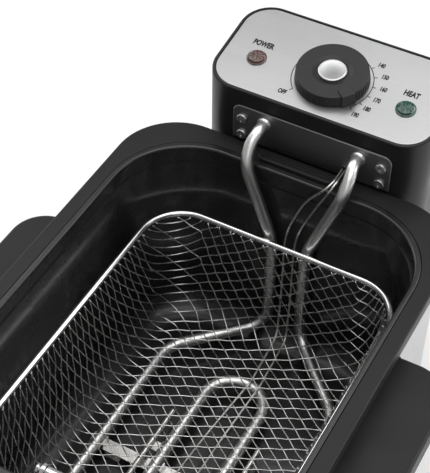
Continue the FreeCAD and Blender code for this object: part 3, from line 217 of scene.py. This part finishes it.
class BasketSkin:
    """The basket's curved sheet: its floor, the bend round the floor and its tapered walls."""

    def __init__(self):
        low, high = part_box("basket_mesh")
        rim_low, rim_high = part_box("basket_rim")
        half = SHEET_THICKNESS / 2
        self.centre = (low + high) / 2
        self.floor_z = low.z + half
        self.top_z = (rim_low.z + rim_high.z) / 2 - GAUZE_WIRE
        self.mouth = ((high.x - low.x) / 2 - half, (high.y - low.y) / 2 - half)
        self.mouth_corner = MOUTH_CORNER - half
        rise = self.top_z - self.floor_z
        self.lean = math.atan2(FLOOR_INSET, rise)
        turn = math.pi / 2 - self.lean
        self.bend_length = FLOOR_BEND * turn
        foot = FLOOR_BEND * math.tan(turn / 2)
        inset = FLOOR_INSET + foot
        self.flat = (self.mouth[0] - inset, self.mouth[1] - inset)
        self.flat_corner = self.mouth_corner - FLOOR_CORNER_LESS - foot
        self.wall_length = (rise - FLOOR_BEND * (1 - math.cos(turn))) / math.cos(self.lean)
        self.length = self.bend_length + self.wall_length

    def profile(self, distance):
        """Outward run, rise and lean of the sheet at a distance up from the flat floor's edge."""
        if distance <= self.bend_length:
            angle = distance / FLOOR_BEND
            return FLOOR_BEND * math.sin(angle), FLOOR_BEND * (1 - math.cos(angle)), angle
        turn = self.bend_length / FLOOR_BEND
        along = distance - self.bend_length
        out = FLOOR_BEND * math.sin(turn) + along * math.cos(turn)
        return out, FLOOR_BEND * (1 - math.cos(turn)) + along * math.sin(turn), turn

    def grid(self):
        """Rings of points with normals, and their places on the sheet before it was pressed."""
        flat, flat_normals = rounded_outline(*self.flat, self.flat_corner)
        mouth, _ = rounded_outline(*self.mouth, self.mouth_corner)
        count = len(flat)
        full_out = self.profile(self.length)[0]
        rings = []
        for share in FLOOR_RINGS:
            places = flat * share
            points = np.column_stack((places, np.full(count, 0.0)))
            rings.append((points, np.tile((0.0, 0.0, 1.0), (count, 1)), places))
        pull = np.array(((WALL_PULL, WALL_SKEW_BACK), (WALL_SKEW_SIDE, WALL_PULL)))
        for step in range(WALL_STEPS + 1):
            distance = self.length * step / WALL_STEPS
            out, rise, lean = self.profile(distance)
            places = flat + (mouth - flat) * (out / full_out)
            points = np.column_stack((places, np.full(count, rise)))
            normals = np.column_stack((-flat_normals * math.sin(lean), np.full(count, math.cos(lean))))
            gather = 1 + WALL_GATHER * distance / self.length
            sheet = flat * gather + (flat_normals @ pull.T) * distance
            rings.append((points, normals, sheet))
        origin = np.array((self.centre.x, self.centre.y, self.floor_z))
        points = np.concatenate([ring[0] for ring in rings]) + origin
        normals = np.concatenate([ring[1] for ring in rings])
        sheet = np.concatenate([ring[2] for ring in rings])
        return points, normals, sheet, len(rings), count


def triangles_of(rows, count):
    """Triangles between the rings of the grid, and a fan that closes the innermost ring."""
    triangles = []
    for row in range(rows - 1):
        for column in range(count):
            a = row * count + column
            b = row * count + (column + 1) % count
            triangles.append((a, b, b + count))
            triangles.append((a, b + count, a + count))
    middle_ring = list(range(count))
    for column in range(1, count - 1):
        triangles.append((middle_ring[0], middle_ring[column + 1], middle_ring[column]))
    return triangles


def level_lines(points, normals, own, other, triangles):
    """Lines on the skin along which the value own is whole: (index, points, normals, other)."""
    neighbours = {}
    places = {}
    for triangle in triangles:
        values = [own[corner] for corner in triangle]
        for level in range(math.ceil(min(values)), math.floor(max(values)) + 1):
            crossed = []
            for start, end in ((0, 1), (1, 2), (2, 0)):
                if (values[start] < level) != (values[end] < level):
                    low, high = sorted((triangle[start], triangle[end]))
                    key = (level, low, high)
                    if key not in places:
                        share = (level - own[low]) / (own[high] - own[low])
                        places[key] = (points[low] + share * (points[high] - points[low]),
                                       normals[low] + share * (normals[high] - normals[low]),
                                       other[low] + share * (other[high] - other[low]))
                    crossed.append(key)
            if len(crossed) == 2:
                neighbours.setdefault(crossed[0], []).append(crossed[1])
                neighbours.setdefault(crossed[1], []).append(crossed[0])
    lines = []
    used = set()
    for key in sorted(neighbours):
        if key in used or len(neighbours[key]) != 1:
            continue
        chain = [key]
        used.add(key)
        while True:
            ahead = [other_key for other_key in neighbours[chain[-1]] if other_key not in used]
            if not ahead:
                break
            chain.append(ahead[0])
            used.add(ahead[0])
        found = [places[one] for one in chain]
        lines.append((key[0], np.array([f[0] for f in found]), np.array([f[1] for f in found]),
                      np.array([f[2] for f in found])))
    return lines


def woven_wires(lines, side):
    """Each line as a crimped wire that passes over and under the wires it crosses."""
    chunks = []
    for index, points, normals, other in lines:
        steps = np.linalg.norm(np.diff(points, axis=0), axis=1)
        along = np.concatenate(([0.0], np.cumsum(steps)))
        if along[-1] < SHORTEST_WIRE * GAUZE_STEP:
            continue
        count = int(along[-1] / GAUZE_STEP) + 1
        at = np.linspace(0.0, along[-1], count)
        place = np.column_stack([np.interp(at, along, points[:, axis]) for axis in range(3)])
        normal = np.column_stack([np.interp(at, along, normals[:, axis]) for axis in range(3)])
        normal /= np.linalg.norm(normal, axis=1)[:, None]
        crossing = np.interp(at, along, other)
        crimp = side * GAUZE_CRIMP * np.cos(math.pi * (crossing + index))
        chunks.append(tube_along(place + normal * crimp[:, None], normal, GAUZE_WIRE, GAUZE_SIDES))
    return chunks


def count_across(sheet, angle, pitch):
    """Each grid point's place counted in wires of one family, which are whole on a wire."""
    turn = math.radians(angle)
    return (-math.sin(turn) * sheet[:, 0] + math.cos(turn) * sheet[:, 1]) / pitch + WEAVE_SHIFT


def woven_basket():
    points, normals, sheet, rows, count = BasketSkin().grid()
    across_warp = count_across(sheet, WARP_ANGLE, WARP_PITCH)
    across_weft = count_across(sheet, WEFT_ANGLE, WEFT_PITCH)
    triangles = triangles_of(rows, count)
    chunks = []
    for own, other, side in ((across_warp, across_weft, 1), (across_weft, across_warp, -1)):
        chunks += woven_wires(level_lines(points, normals, own, other, triangles), side)
    vertices, faces = join_meshes(chunks)
    gauze = new_piece("basket_gauze", vertices, faces)
    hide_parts("basket_mesh")
    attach(gauze, "fry_basket")
    return gauze


# ---- small pieces ---------------------------------------------------------------------------

def coil_spring():
    """The interlock's spring, with closed end turns, in the place of its plain sleeve."""
    low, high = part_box("plunger_spring")
    middle = (low + high) / 2
    radius = (high.x - low.x) / 2 - SPRING_WIRE
    steps = SPRING_TURNS * SPRING_STEPS
    height = high.z - low.z - 2 * SPRING_WIRE
    points = []
    for step in range(steps + 1):
        share = step / steps
        climb = share - SPRING_CLOSING * math.sin(2 * math.pi * share)
        angle = 2 * math.pi * SPRING_TURNS * share
        points.append((middle.x + radius * math.cos(angle), middle.y + radius * math.sin(angle),
                       low.z + SPRING_WIRE + height * climb))
    outward = [(p[0] - middle.x, p[1] - middle.y, 0.0) for p in points]
    vertices, faces = tube_along(points, outward, SPRING_WIRE, 8)
    spring = new_piece("plunger_coil_spring", vertices, faces)
    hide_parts("plunger_spring")
    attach(spring, "control_head")
    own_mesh(spring)
    return spring


def knob_hinge():
    """The joint that turns the knob. Its axis stands square on the panel."""
    return next(joint for joint in frame["joints"] if joint["name"] == "knob_turn")


def panel_surface(up):
    """How far along its own normal the panel's face lies."""
    return max(Vector(vertex.co).dot(up) for vertex in frame["nodes"]["control_panel"].data.vertices)


def panel_frame():
    """The panel's own axes: the origin is the dial's centre on the panel's surface."""
    hinge = knob_hinge()
    up = Vector(hinge["axis"]).normalized()
    right = Vector((1.0, 0.0, 0.0))
    ahead = up.cross(right)
    surface = panel_surface(up)
    place = Vector(hinge["pos_m"])
    place += up * (surface - place.dot(up))
    turn = Matrix((right, ahead, up)).transposed()
    return Matrix.Translation(place) @ turn.to_4x4()


def lens_top(node):
    """The middle of a lens's highest face."""
    up = Vector(knob_hinge()["axis"]).normalized()
    vertices = [Vector(vertex.co) for vertex in frame["nodes"][node].data.vertices]
    reach = max(v.dot(up) for v in vertices)
    highest = [v for v in vertices if v.dot(up) > reach - FACE_DEPTH]
    total = Vector((0.0, 0.0, 0.0))
    for vertex in highest:
        total += vertex
    return total / len(highest)


def jewel_lens(name, node):
    """A lamp lens with a collar and a low faceted dome."""
    low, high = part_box(node)
    lean = Matrix.Rotation(math.radians(PANEL_SLOPE), 3, "X")
    radius = (high.x - low.x) / 2
    top = lens_top(node)
    sides = LAMP_FACETS * 2
    vertices = []
    for row, (share, height) in enumerate(LAMP_PROFILE):
        faceted = row > LAMP_PLAIN_ROWS
        for side in range(sides):
            angle = 2 * math.pi * side / sides
            reach = radius * share
            drop = LAMP_FACET_DROP if faceted and side % 2 else 0.0
            vertices.append((reach * math.cos(angle), reach * math.sin(angle), height - LAMP_CROWN - drop))
    faces = []
    for row in range(len(LAMP_PROFILE) - 1):
        for side in range(sides):
            first = row * sides + side
            second = row * sides + (side + 1) % sides
            faces.append((first, second, second + sides, first + sides))
    vertices.append((0.0, 0.0, LAMP_MIDDLE))
    crown = len(vertices) - 1
    last = (len(LAMP_PROFILE) - 1) * sides
    for side in range(sides):
        faces.append((last + side, last + (side + 1) % sides, crown))
    faces.append(tuple(range(sides))[::-1])
    placed = [top + lean @ Vector(v) for v in vertices]
    lens = new_piece(name, placed, faces, smooth=False)
    for polygon in lens.data.polygons:
        polygon.use_smooth = polygon.index < LAMP_PLAIN_ROWS * sides
    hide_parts(node)
    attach(lens, "control_head")
    return lens


def printed(name, pieces):
    """Flat print on the panel: each piece is (vertices, faces) in the panel's own axes."""
    vertices, faces = join_meshes(pieces)
    place = panel_frame()
    placed = [place @ Vector((v[0], v[1], v[2] + PRINT_LIFT)) for v in vertices]
    piece = new_piece(name, placed, faces, smooth=False)
    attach(piece, "control_head")
    return piece


def flat_strip(points, width):
    """A thin flat line of even width through points of the panel's plane."""
    heading = np.gradient(np.array(points), axis=0)
    heading /= np.linalg.norm(heading, axis=1)[:, None]
    across = np.column_stack((-heading[:, 1], heading[:, 0])) * width / 2
    vertices = []
    for point, offset in zip(points, across):
        for side in (1, -1):
            for height in (0.0, PRINT_THICKNESS):
                vertices.append((point[0] + side * offset[0], point[1] + side * offset[1], height))
    faces = []
    for row in range(len(points) - 1):
        a = row * 4
        b = a + 4
        faces += [(a + 1, a + 3, b + 3, b + 1), (a + 2, a, b, b + 2),
                  (a, a + 1, b + 1, b), (a + 3, a + 2, b + 2, b + 3)]
    end = (len(points) - 1) * 4
    faces += [(0, 2, 3, 1), (end + 1, end + 3, end + 2, end)]
    return vertices, faces


def on_circle(radius, angle):
    """A point of the panel's plane, on a circle round the dial."""
    turn = math.radians(angle)
    return (radius * math.cos(turn), radius * math.sin(turn))


def dial_scale():
    """Thin arc from OFF round over the top to the hottest mark, with a tick at each mark."""
    start = OFF_ANGLE
    end = SCALE_MARKS[-1][1] - 360.0
    steps = 96
    arc = [on_circle(ARC_RADIUS, start + (end - start) * step / steps) for step in range(steps + 1)]
    strips = [flat_strip(arc, ARC_WIDTH)]
    ticks = [angle for _, angle in SCALE_MARKS] + [OFF_ANGLE]
    for angle in ticks:
        strips.append(flat_strip([on_circle(ARC_RADIUS, angle), on_circle(TICK_END, angle)], ARC_WIDTH))
    return printed("dial_scale", strips)


def lettering(text, size, x, y, narrow):
    """One line of plain type, centred on a point of the panel's plane, as vertices and faces."""
    curve = bpy.data.curves.new("lettering", "FONT")
    curve.body = text
    curve.size = size
    curve.align_x = "CENTER"
    curve.align_y = "CENTER"
    curve.offset = size * TYPE_WEIGHT
    curve.extrude = PRINT_THICKNESS / 2
    curve.resolution_u = 3
    holder = bpy.data.objects.new("lettering", curve)
    bpy.context.scene.collection.objects.link(holder)
    bpy.context.view_layer.update()
    mesh = bpy.data.meshes.new_from_object(holder)
    vertices = [(v.co.x * narrow + x, v.co.y + y, v.co.z + PRINT_THICKNESS / 2) for v in mesh.vertices]
    faces = [tuple(polygon.vertices) for polygon in mesh.polygons]
    bpy.data.objects.remove(holder)
    bpy.data.meshes.remove(mesh)
    bpy.data.curves.remove(curve)
    return vertices, faces


def dial_numbers():
    """The temperatures and OFF, round the dial."""
    pieces = []
    for text, angle in (*SCALE_MARKS, ("OFF", OFF_ANGLE)):
        x, y = on_circle(NUMBER_RADIUS, angle)
        pieces.append(lettering(str(text), NUMBER_SIZE, x, y, NUMBER_NARROW))
    return printed("dial_numbers", pieces)


def panel_labels():
    """Plain words above the two lamps."""
    to_panel = panel_frame().inverted()
    pieces = []
    for node, text in (("power_lamp_lens", "POWER"), ("heat_lamp_lens", "HEAT")):
        lamp = to_panel @ lens_top(node)
        place_x, place_y = lamp.x + LABEL_SHIFT[0], lamp.y + LABEL_SHIFT[1]
        pieces.append(lettering(text, LABEL_SIZE, place_x, place_y, LABEL_NARROW))
    return printed("panel_labels", pieces)


# ---- materials ------------------------------------------------------------------------------

# Sockets of a colour Mix node, which share their names with its other kinds.
MIX_FIRST = 6
MIX_SECOND = 7
MIX_RESULT = 2


class Shade:
    """A material with a few named ways to build its nodes. Patterns lie in the object's own space."""

    def __init__(self, name, rough, metal=0.0):
        self.material = bpy.data.materials.new(name)
        self.material.use_nodes = True
        self.tree = self.material.node_tree
        self.shader = self.tree.nodes["Principled BSDF"]
        self.shader.inputs["Metallic"].default_value = metal
        self.shader.inputs["Roughness"].default_value = rough
        self.space = self.add("ShaderNodeTexCoord").outputs["Object"]

    def add(self, kind, **settings):
        node = self.tree.nodes.new(kind)
        for key, value in settings.items():
            setattr(node, key, value)
        return node

    def join(self, source, target):
        self.tree.links.new(source, target)

    def set(self, **values):
        for key, value in values.items():
            self.shader.inputs[key.replace("_", " ")].default_value = value

    def stretched(self, stretch):
        mapping = self.add("ShaderNodeMapping")
        mapping.inputs["Scale"].default_value = stretch
        self.join(self.space, mapping.inputs["Vector"])
        return mapping.outputs["Vector"]

    def noise(self, size, detail=4.0, stretch=(1.0, 1.0, 1.0), distortion=0.0):
        """Soft noise whose lumps are about size metres across."""
        node = self.add("ShaderNodeTexNoise")
        node.inputs["Scale"].default_value = 1.0 / size
        node.inputs["Detail"].default_value = detail
        node.inputs["Distortion"].default_value = distortion
        self.join(self.stretched(stretch), node.inputs["Vector"])
        return node.outputs["Fac"]

    def cells(self, size, feature="F1"):
        node = self.add("ShaderNodeTexVoronoi", feature=feature)
        node.inputs["Scale"].default_value = 1.0 / size
        self.join(self.space, node.inputs["Vector"])
        return node.outputs["Distance"]

    def remap(self, value, low, high, to_low, to_high):
        node = self.add("ShaderNodeMapRange")
        for key, number in (("From Min", low), ("From Max", high), ("To Min", to_low), ("To Max", to_high)):
            node.inputs[key].default_value = number
        self.join(value, node.inputs["Value"])
        return node.outputs["Result"]

    def math(self, operation, first, second=0.0):
        node = self.add("ShaderNodeMath", operation=operation)
        for socket, value in zip(node.inputs, (first, second)):
            if isinstance(value, (int, float)):
                socket.default_value = value
            else:
                self.join(value, socket)
        return node.outputs["Value"]

    def mix(self, share, first, second):
        """Blends two colours, each a triple or another mix."""
        node = self.add("ShaderNodeMix", data_type="RGBA")
        self.join(share, node.inputs["Factor"])
        for socket, value in ((node.inputs[MIX_FIRST], first), (node.inputs[MIX_SECOND], second)):
            if isinstance(value, tuple):
                socket.default_value = (*value, 1.0)
            else:
                self.join(value, socket)
        return node.outputs[MIX_RESULT]

    def edges(self, radius):
        """1 along sharp outer and inner edges, 0 on flat stretches."""
        bevel = self.add("ShaderNodeBevel", samples=4)
        bevel.inputs["Radius"].default_value = radius
        plain = self.add("ShaderNodeNewGeometry")
        dot = self.add("ShaderNodeVectorMath", operation="DOT_PRODUCT")
        self.join(bevel.outputs["Normal"], dot.inputs[0])
        self.join(plain.outputs["Normal"], dot.inputs[1])
        return self.remap(dot.outputs["Value"], 0.995, 0.86, 0.0, 1.0)

    def colour(self, socket):
        self.join(socket, self.shader.inputs["Base Color"])

    def roughness(self, socket):
        self.join(socket, self.shader.inputs["Roughness"])

    def bump(self, height, depth, strength=1.0):
        node = self.add("ShaderNodeBump")
        node.inputs["Strength"].default_value = strength
        node.inputs["Distance"].default_value = depth
        self.join(height, node.inputs["Height"])
        self.join(node.outputs["Normal"], self.shader.inputs["Normal"])


def tinted(colour, share):
    return tuple(channel * share for channel in colour)


def moulded_plastic(name, colour, rough, grain=0.25 * MM, depth=0.02 * MM, edge_wear_and_highlight=1.7, gloss=0.32):
    """Fine-grained moulding with slightly polished edges, painted lighter as part wear and part painted highlight,
    and faint patches of handling.
    """
    shade = Shade(name, rough)
    patches = shade.noise(38 * MM, 5.0)
    base = shade.mix(patches, tinted(colour, 0.86), tinted(colour, 1.16))
    speck = shade.remap(shade.noise(1.1 * MM, 2.0), 0.42, 0.70, 0.0, 0.35)
    base = shade.mix(speck, base, tinted(colour, 1.30))
    # lighter edges: partly wear, partly a painted highlight where the edges would catch the light
    edge = shade.edges(0.5 * MM)
    shade.colour(shade.mix(edge, base, tinted(colour, edge_wear_and_highlight)))
    handled = shade.remap(shade.noise(24 * MM, 3.0), 0.3, 0.7, rough - 0.05, rough + 0.06)
    shade.roughness(shade.math("SUBTRACT", handled, shade.math("MULTIPLY", edge, 0.08)))
    shade.bump(shade.noise(grain, 2.0), depth, 0.55)
    shade.set(Specular_IOR_Level=gloss)
    return shade.material


def brushed_metal(name, colour, rough, stretch, streak=0.30 * MM, depth=0.006 * MM, dark=0.80, rim=1.12):
    """Metal with fine parallel brushing. The stretch makes the streaks long along an axis."""
    shade = Shade(name, rough, 1.0)
    fine = shade.noise(streak, 3.0, stretch)
    broad = shade.noise(streak * 7, 3.0, stretch)
    lines = shade.math("MULTIPLY", shade.math("ADD", fine, broad), 0.5)
    cloud = shade.noise(46 * MM, 4.0)
    base = shade.mix(shade.remap(lines, 0.34, 0.66, 0.0, 1.0), tinted(colour, dark), colour)
    base = shade.mix(shade.remap(cloud, 0.35, 0.75, 0.0, 0.35), base, tinted(colour, 0.86))
    # painted highlight: edges are lighter by the share rim
    shade.colour(shade.mix(shade.edges(0.4 * MM), base, tinted(colour, rim)))
    shade.roughness(shade.remap(lines, 0.3, 0.7, rough - 0.07, rough + 0.09))
    shade.bump(lines, depth, 0.6)
    shade.set(Anisotropic=0.35)
    return shade.material


def drawn_metal(name, colour, rough, tarnish, amount=0.35, depth=0.012 * MM):
    """Drawn or plated wire, tube and sheet with faint drawing marks and darker patches."""
    shade = Shade(name, rough, 1.0)
    stain = shade.remap(shade.noise(17 * MM, 6.0, distortion=0.6), 0.45, 0.72, 0.0, amount)
    fleck = shade.remap(shade.noise(1.6 * MM, 3.0), 0.50, 0.78, 0.0, amount * 0.8)
    base = shade.mix(stain, colour, tarnish)
    base = shade.mix(fleck, base, tinted(tarnish, 0.8))
    # painted highlight: edges slightly lighter
    shade.colour(shade.mix(shade.edges(0.25 * MM), base, tinted(colour, 1.08)))
    marks = shade.noise(0.5 * MM, 4.0)
    shade.roughness(shade.math("ADD", shade.remap(marks, 0.3, 0.7, rough - 0.05, rough + 0.06),
                               shade.math("MULTIPLY", stain, 0.22)))
    shade.bump(marks, depth, 0.5)
    return shade.material


def pot_enamel():
    """Glossy black glass enamel with a faint orange-peel surface and tiny pale flecks."""
    colour = (0.0105, 0.0105, 0.0115)
    shade = Shade("pot_enamel", 0.14)
    fleck = shade.remap(shade.cells(2.6 * MM), 0.13, 0.05, 0.0, 0.30)
    base = shade.mix(shade.noise(60 * MM, 4.0), tinted(colour, 0.8), tinted(colour, 1.3))
    shade.colour(shade.mix(fleck, base, (0.07, 0.07, 0.075)))
    film = shade.noise(34 * MM, 6.0, distortion=0.8)
    shade.roughness(shade.remap(film, 0.36, 0.70, 0.22, 0.34))
    peel = shade.math("ADD", shade.noise(5.5 * MM, 2.0), shade.math("MULTIPLY", shade.noise(1.4 * MM), 0.25))
    shade.bump(peel, 0.10 * MM, 0.35)
    shade.set(Specular_IOR_Level=0.36, Coat_Weight=0.30, Coat_Roughness=0.12)
    return shade.material


def rubber(name, colour):
    shade = Shade(name, 0.72)
    dust = shade.remap(shade.noise(9 * MM, 6.0), 0.45, 0.75, 0.0, 0.45)
    base = shade.mix(dust, colour, tinted(colour, 2.1))
    # painted highlight: edges lighter
    shade.colour(shade.mix(shade.edges(0.6 * MM), base, tinted(colour, 1.9)))
    shade.roughness(shade.remap(dust, 0.0, 0.45, 0.62, 0.82))
    shade.bump(shade.noise(0.4 * MM, 3.0), 0.03 * MM, 0.6)
    return shade.material


def lamp_glass(name, deep, bright):
    """Tinted lens, darker in its depth, with a paler band where the facets catch the light."""
    shade = Shade(name, 0.10)
    cloud = shade.noise(3.2 * MM, 3.0)
    facing = shade.add("ShaderNodeLayerWeight")
    facing.inputs["Blend"].default_value = 0.35
    base = shade.mix(shade.remap(cloud, 0.35, 0.68, 0.0, 1.0), deep, bright)
    shade.colour(shade.mix(facing.outputs["Facing"], base, tinted(bright, 1.5)))
    shade.roughness(shade.remap(shade.noise(1.2 * MM), 0.3, 0.7, 0.06, 0.16))
    shade.bump(shade.noise(0.8 * MM, 2.0), 0.02 * MM, 0.3)
    shade.set(Coat_Weight=0.6, Coat_Roughness=0.04, IOR=1.49)
    return shade.material


def spun_cap():
    """Knob cap: rings from the lathe round the dial's axis, and a darker middle."""
    shade = Shade("knob_cap_alu", 0.36, 1.0)
    place = panel_frame()
    shift = shade.add("ShaderNodeVectorMath", operation="SUBTRACT")
    shade.join(shade.space, shift.inputs[0])
    shift.inputs[1].default_value = place.translation
    along = place.to_3x3() @ Vector((0.0, 0.0, 1.0))
    axis = shade.add("ShaderNodeVectorMath", operation="CROSS_PRODUCT")
    shade.join(shift.outputs["Vector"], axis.inputs[0])
    axis.inputs[1].default_value = along
    length = shade.add("ShaderNodeVectorMath", operation="LENGTH")
    shade.join(axis.outputs["Vector"], length.inputs[0])
    radius = length.outputs["Value"]
    rings = shade.math("SINE", shade.math("MULTIPLY", radius, 2 * math.pi / (0.32 * MM)))
    rings = shade.remap(rings, -1.0, 1.0, 0.0, 1.0)
    wobble = shade.noise(1.5 * MM, 3.0)
    lathe = shade.math("MULTIPLY", rings, shade.remap(wobble, 0.3, 0.7, 0.3, 1.0))
    middle = shade.remap(radius, 3.0 * MM, 10.0 * MM, 0.0, 1.0)
    base = shade.mix(middle, (0.36, 0.36, 0.365), (0.62, 0.62, 0.62))
    base = shade.mix(shade.math("MULTIPLY", lathe, 0.35), base, (0.46, 0.46, 0.47))
    # painted highlight: edges almost white
    shade.colour(shade.mix(shade.edges(0.4 * MM), base, (0.93, 0.93, 0.93)))
    shade.roughness(shade.remap(lathe, 0.0, 1.0, 0.32, 0.44))
    shade.bump(lathe, 0.012 * MM, 0.6)
    return shade.material


def printed_ink():
    shade = Shade("printed_ink", 0.50)
    worn = shade.remap(shade.noise(1.4 * MM, 5.0), 0.55, 0.80, 0.0, 0.35)
    shade.colour(shade.mix(worn, (0.010, 0.010, 0.011), (0.05, 0.05, 0.05)))
    shade.set(Specular_IOR_Level=0.2)
    shade.roughness(shade.remap(shade.noise(0.6 * MM), 0.3, 0.7, 0.42, 0.6))
    shade.bump(shade.noise(0.2 * MM), 0.004 * MM, 0.4)
    return shade.material


def materials_by_slot():
    sooty = (0.20, 0.18, 0.16)
    return {
        "steel_wrap": brushed_metal("steel_wrap", (0.58, 0.58, 0.59), 0.30, (0.03, 0.03, 1.0)),
        "black_plastic": moulded_plastic("black_plastic", (0.0135, 0.0135, 0.014), 0.42, gloss=0.24),
        "base_plastic": moulded_plastic("base_plastic", (0.016, 0.016, 0.017), 0.55,
                                        grain=0.5 * MM, depth=0.04 * MM),
        "foot_rubber": rubber("foot_rubber", (0.022, 0.022, 0.022)),
        "zinc_screw": drawn_metal("zinc_screw", (0.62, 0.62, 0.62), 0.24, (0.22, 0.21, 0.19)),
        "rail_steel": drawn_metal("rail_steel", (0.55, 0.56, 0.57), 0.38, (0.30, 0.31, 0.32), 0.5),
        "pot_enamel": pot_enamel(),
        "head_plastic": moulded_plastic("head_plastic", (0.0105, 0.0105, 0.011), 0.38),
        # panel_silver: rim=1.8 paints a strong highlight along the panel's edges, its front lip above all
        "panel_silver": brushed_metal("panel_silver", (0.50, 0.50, 0.505), 0.40, (0.02, 1.0, 1.0),
                                      streak=0.16 * MM, depth=0.003 * MM, dark=0.90, rim=1.8),
        "lens_red": lamp_glass("lens_red", (0.020, 0.008, 0.006), (0.085, 0.030, 0.021)),
        "lens_green": lamp_glass("lens_green", (0.003, 0.018, 0.014), (0.012, 0.075, 0.054)),
        "inner_plastic": moulded_plastic("inner_plastic", (0.60, 0.57, 0.50), 0.50, edge_wear_and_highlight=1.15),
        "mount_steel": brushed_metal("mount_steel", (0.30, 0.30, 0.305), 0.40, (0.03, 1.0, 1.0),
                                     streak=0.22 * MM, depth=0.003 * MM, dark=0.90),
        "gasket_rubber": rubber("gasket_rubber", (0.035, 0.035, 0.035)),
        "chassis_steel": drawn_metal("chassis_steel", (0.56, 0.57, 0.58), 0.36, (0.33, 0.33, 0.34), 0.5),
        "element_steel": drawn_metal("element_steel", (0.80, 0.80, 0.79), 0.32, sooty, 0.10),
        "sensor_steel": drawn_metal("sensor_steel", (0.66, 0.65, 0.63), 0.26, sooty, 0.18),
        "terminal_brass": drawn_metal("terminal_brass", (0.72, 0.55, 0.26), 0.28, (0.30, 0.20, 0.09), 0.5),
        "thermostat_case": drawn_metal("thermostat_case", (0.50, 0.50, 0.50), 0.34, (0.26, 0.26, 0.26)),
        "reset_plastic": moulded_plastic("reset_plastic", (0.36, 0.025, 0.018), 0.32, edge_wear_and_highlight=1.4),
        "knob_plastic": moulded_plastic("knob_plastic", (0.019, 0.019, 0.0195), 0.42),
        "knob_cap_alu": spun_cap(),
        "shaft_steel": drawn_metal("shaft_steel", (0.60, 0.60, 0.61), 0.28, (0.32, 0.32, 0.32)),
        "basket_wire": drawn_metal("basket_wire", (0.82, 0.82, 0.82), 0.16, (0.34, 0.32, 0.28), 0.20),
        "basket_gauze": drawn_metal("basket_gauze", (0.74, 0.74, 0.73), 0.24, (0.28, 0.25, 0.21), 0.25),
        "grip_plastic": moulded_plastic("grip_plastic", (0.026, 0.026, 0.028), 0.48,
                                        grain=0.6 * MM, depth=0.05 * MM),
        "latch_plastic": moulded_plastic("latch_plastic", (0.075, 0.075, 0.080), 0.34, edge_wear_and_highlight=1.5),
    }


def wear_material(piece, material):
    piece.data.materials.clear()
    piece.data.materials.append(material)


def floor_material():
    shade = Shade("studio_floor", 0.75)
    shade.colour(shade.mix(shade.noise(0.35), (0.93, 0.93, 0.93), (0.96, 0.96, 0.96)))
    return shade.material


# ---- studio ---------------------------------------------------------------------------------

def soft_light(name, place, aim, size, power):
    lamp = bpy.data.lights.new(name, "AREA")
    lamp.shape = "RECTANGLE"
    lamp.size = size[0]
    lamp.size_y = size[1]
    lamp.energy = power
    holder = bpy.data.objects.new(name, lamp)
    holder.location = place
    holder.rotation_euler = (Vector(aim) - Vector(place)).to_track_quat("-Z", "Y").to_euler()
    bpy.context.scene.collection.objects.link(holder)
    return holder


def studio():
    """A plain pale floor, pale air and soft lamps round the object."""
    half = FLOOR_HALF
    corners = [(-half, -half, 0), (half, -half, 0), (half, half, 0), (-half, half, 0)]
    floor = new_piece("studio_floor_plane", corners, [(0, 1, 2, 3)], smooth=False)
    wear_material(floor, floor_material())
    world = bpy.data.worlds.new("studio_air")
    world.use_nodes = True
    background = world.node_tree.nodes["Background"]
    background.inputs["Color"].default_value = (1.0, 1.0, 1.0, 1.0)
    background.inputs["Strength"].default_value = AIR_STRENGTH
    bpy.context.scene.world = world
    aim = rim_point(*STUDIO_AIM)
    for name, place, size, power in STUDIO_LIGHTS:
        soft_light(name, aim + Vector(place), aim, size, power)
    bpy.context.scene.view_settings.view_transform = "Standard"


def camera():
    """The camera stands back from its aim along a direction given by azimuth and elevation."""
    azimuth = math.radians(CAMERA_AZIMUTH)
    elevation = math.radians(CAMERA_ELEVATION)
    roll = math.radians(CAMERA_ROLL)
    back = Vector((math.sin(azimuth) * math.cos(elevation), -math.cos(azimuth) * math.cos(elevation),
                   math.sin(elevation)))
    level = Vector((math.cos(azimuth), math.sin(azimuth), 0.0))
    upright = back.cross(level)
    right = math.cos(roll) * level + math.sin(roll) * upright
    up = back.cross(right)
    lens = bpy.data.cameras.new("camera")
    lens.lens = CAMERA_LENS
    lens.clip_start = CAMERA_NEAREST
    holder = bpy.data.objects.new("camera", lens)
    turn = Matrix((right, up, back)).transposed()
    place = rim_point(*CAMERA_AIM) + back * CAMERA_DISTANCE
    holder.matrix_world = Matrix.Translation(place) @ turn.to_4x4()
    bpy.context.scene.collection.objects.link(holder)
    bpy.context.scene.camera = holder


# ---- the whole scene ------------------------------------------------------------------------

def main():
    slots = materials_by_slot()
    slot_of = {part["node"]: part["material_slot"] for part in frame["record"]["subparts"]}
    for node, piece in frame["nodes"].items():
        wear_material(piece, slots[slot_of[node]])
    wear_material(woven_basket(), slots["basket_gauze"])
    wear_material(coil_spring(), slots["zinc_screw"])
    wear_material(jewel_lens("power_lamp_jewel", "power_lamp_lens"), slots["lens_red"])
    wear_material(jewel_lens("heat_lamp_jewel", "heat_lamp_lens"), slots["lens_green"])
    ink = printed_ink()
    for piece in (dial_scale(), dial_numbers(), panel_labels()):
        wear_material(piece, ink)
    studio()
    camera()


main()
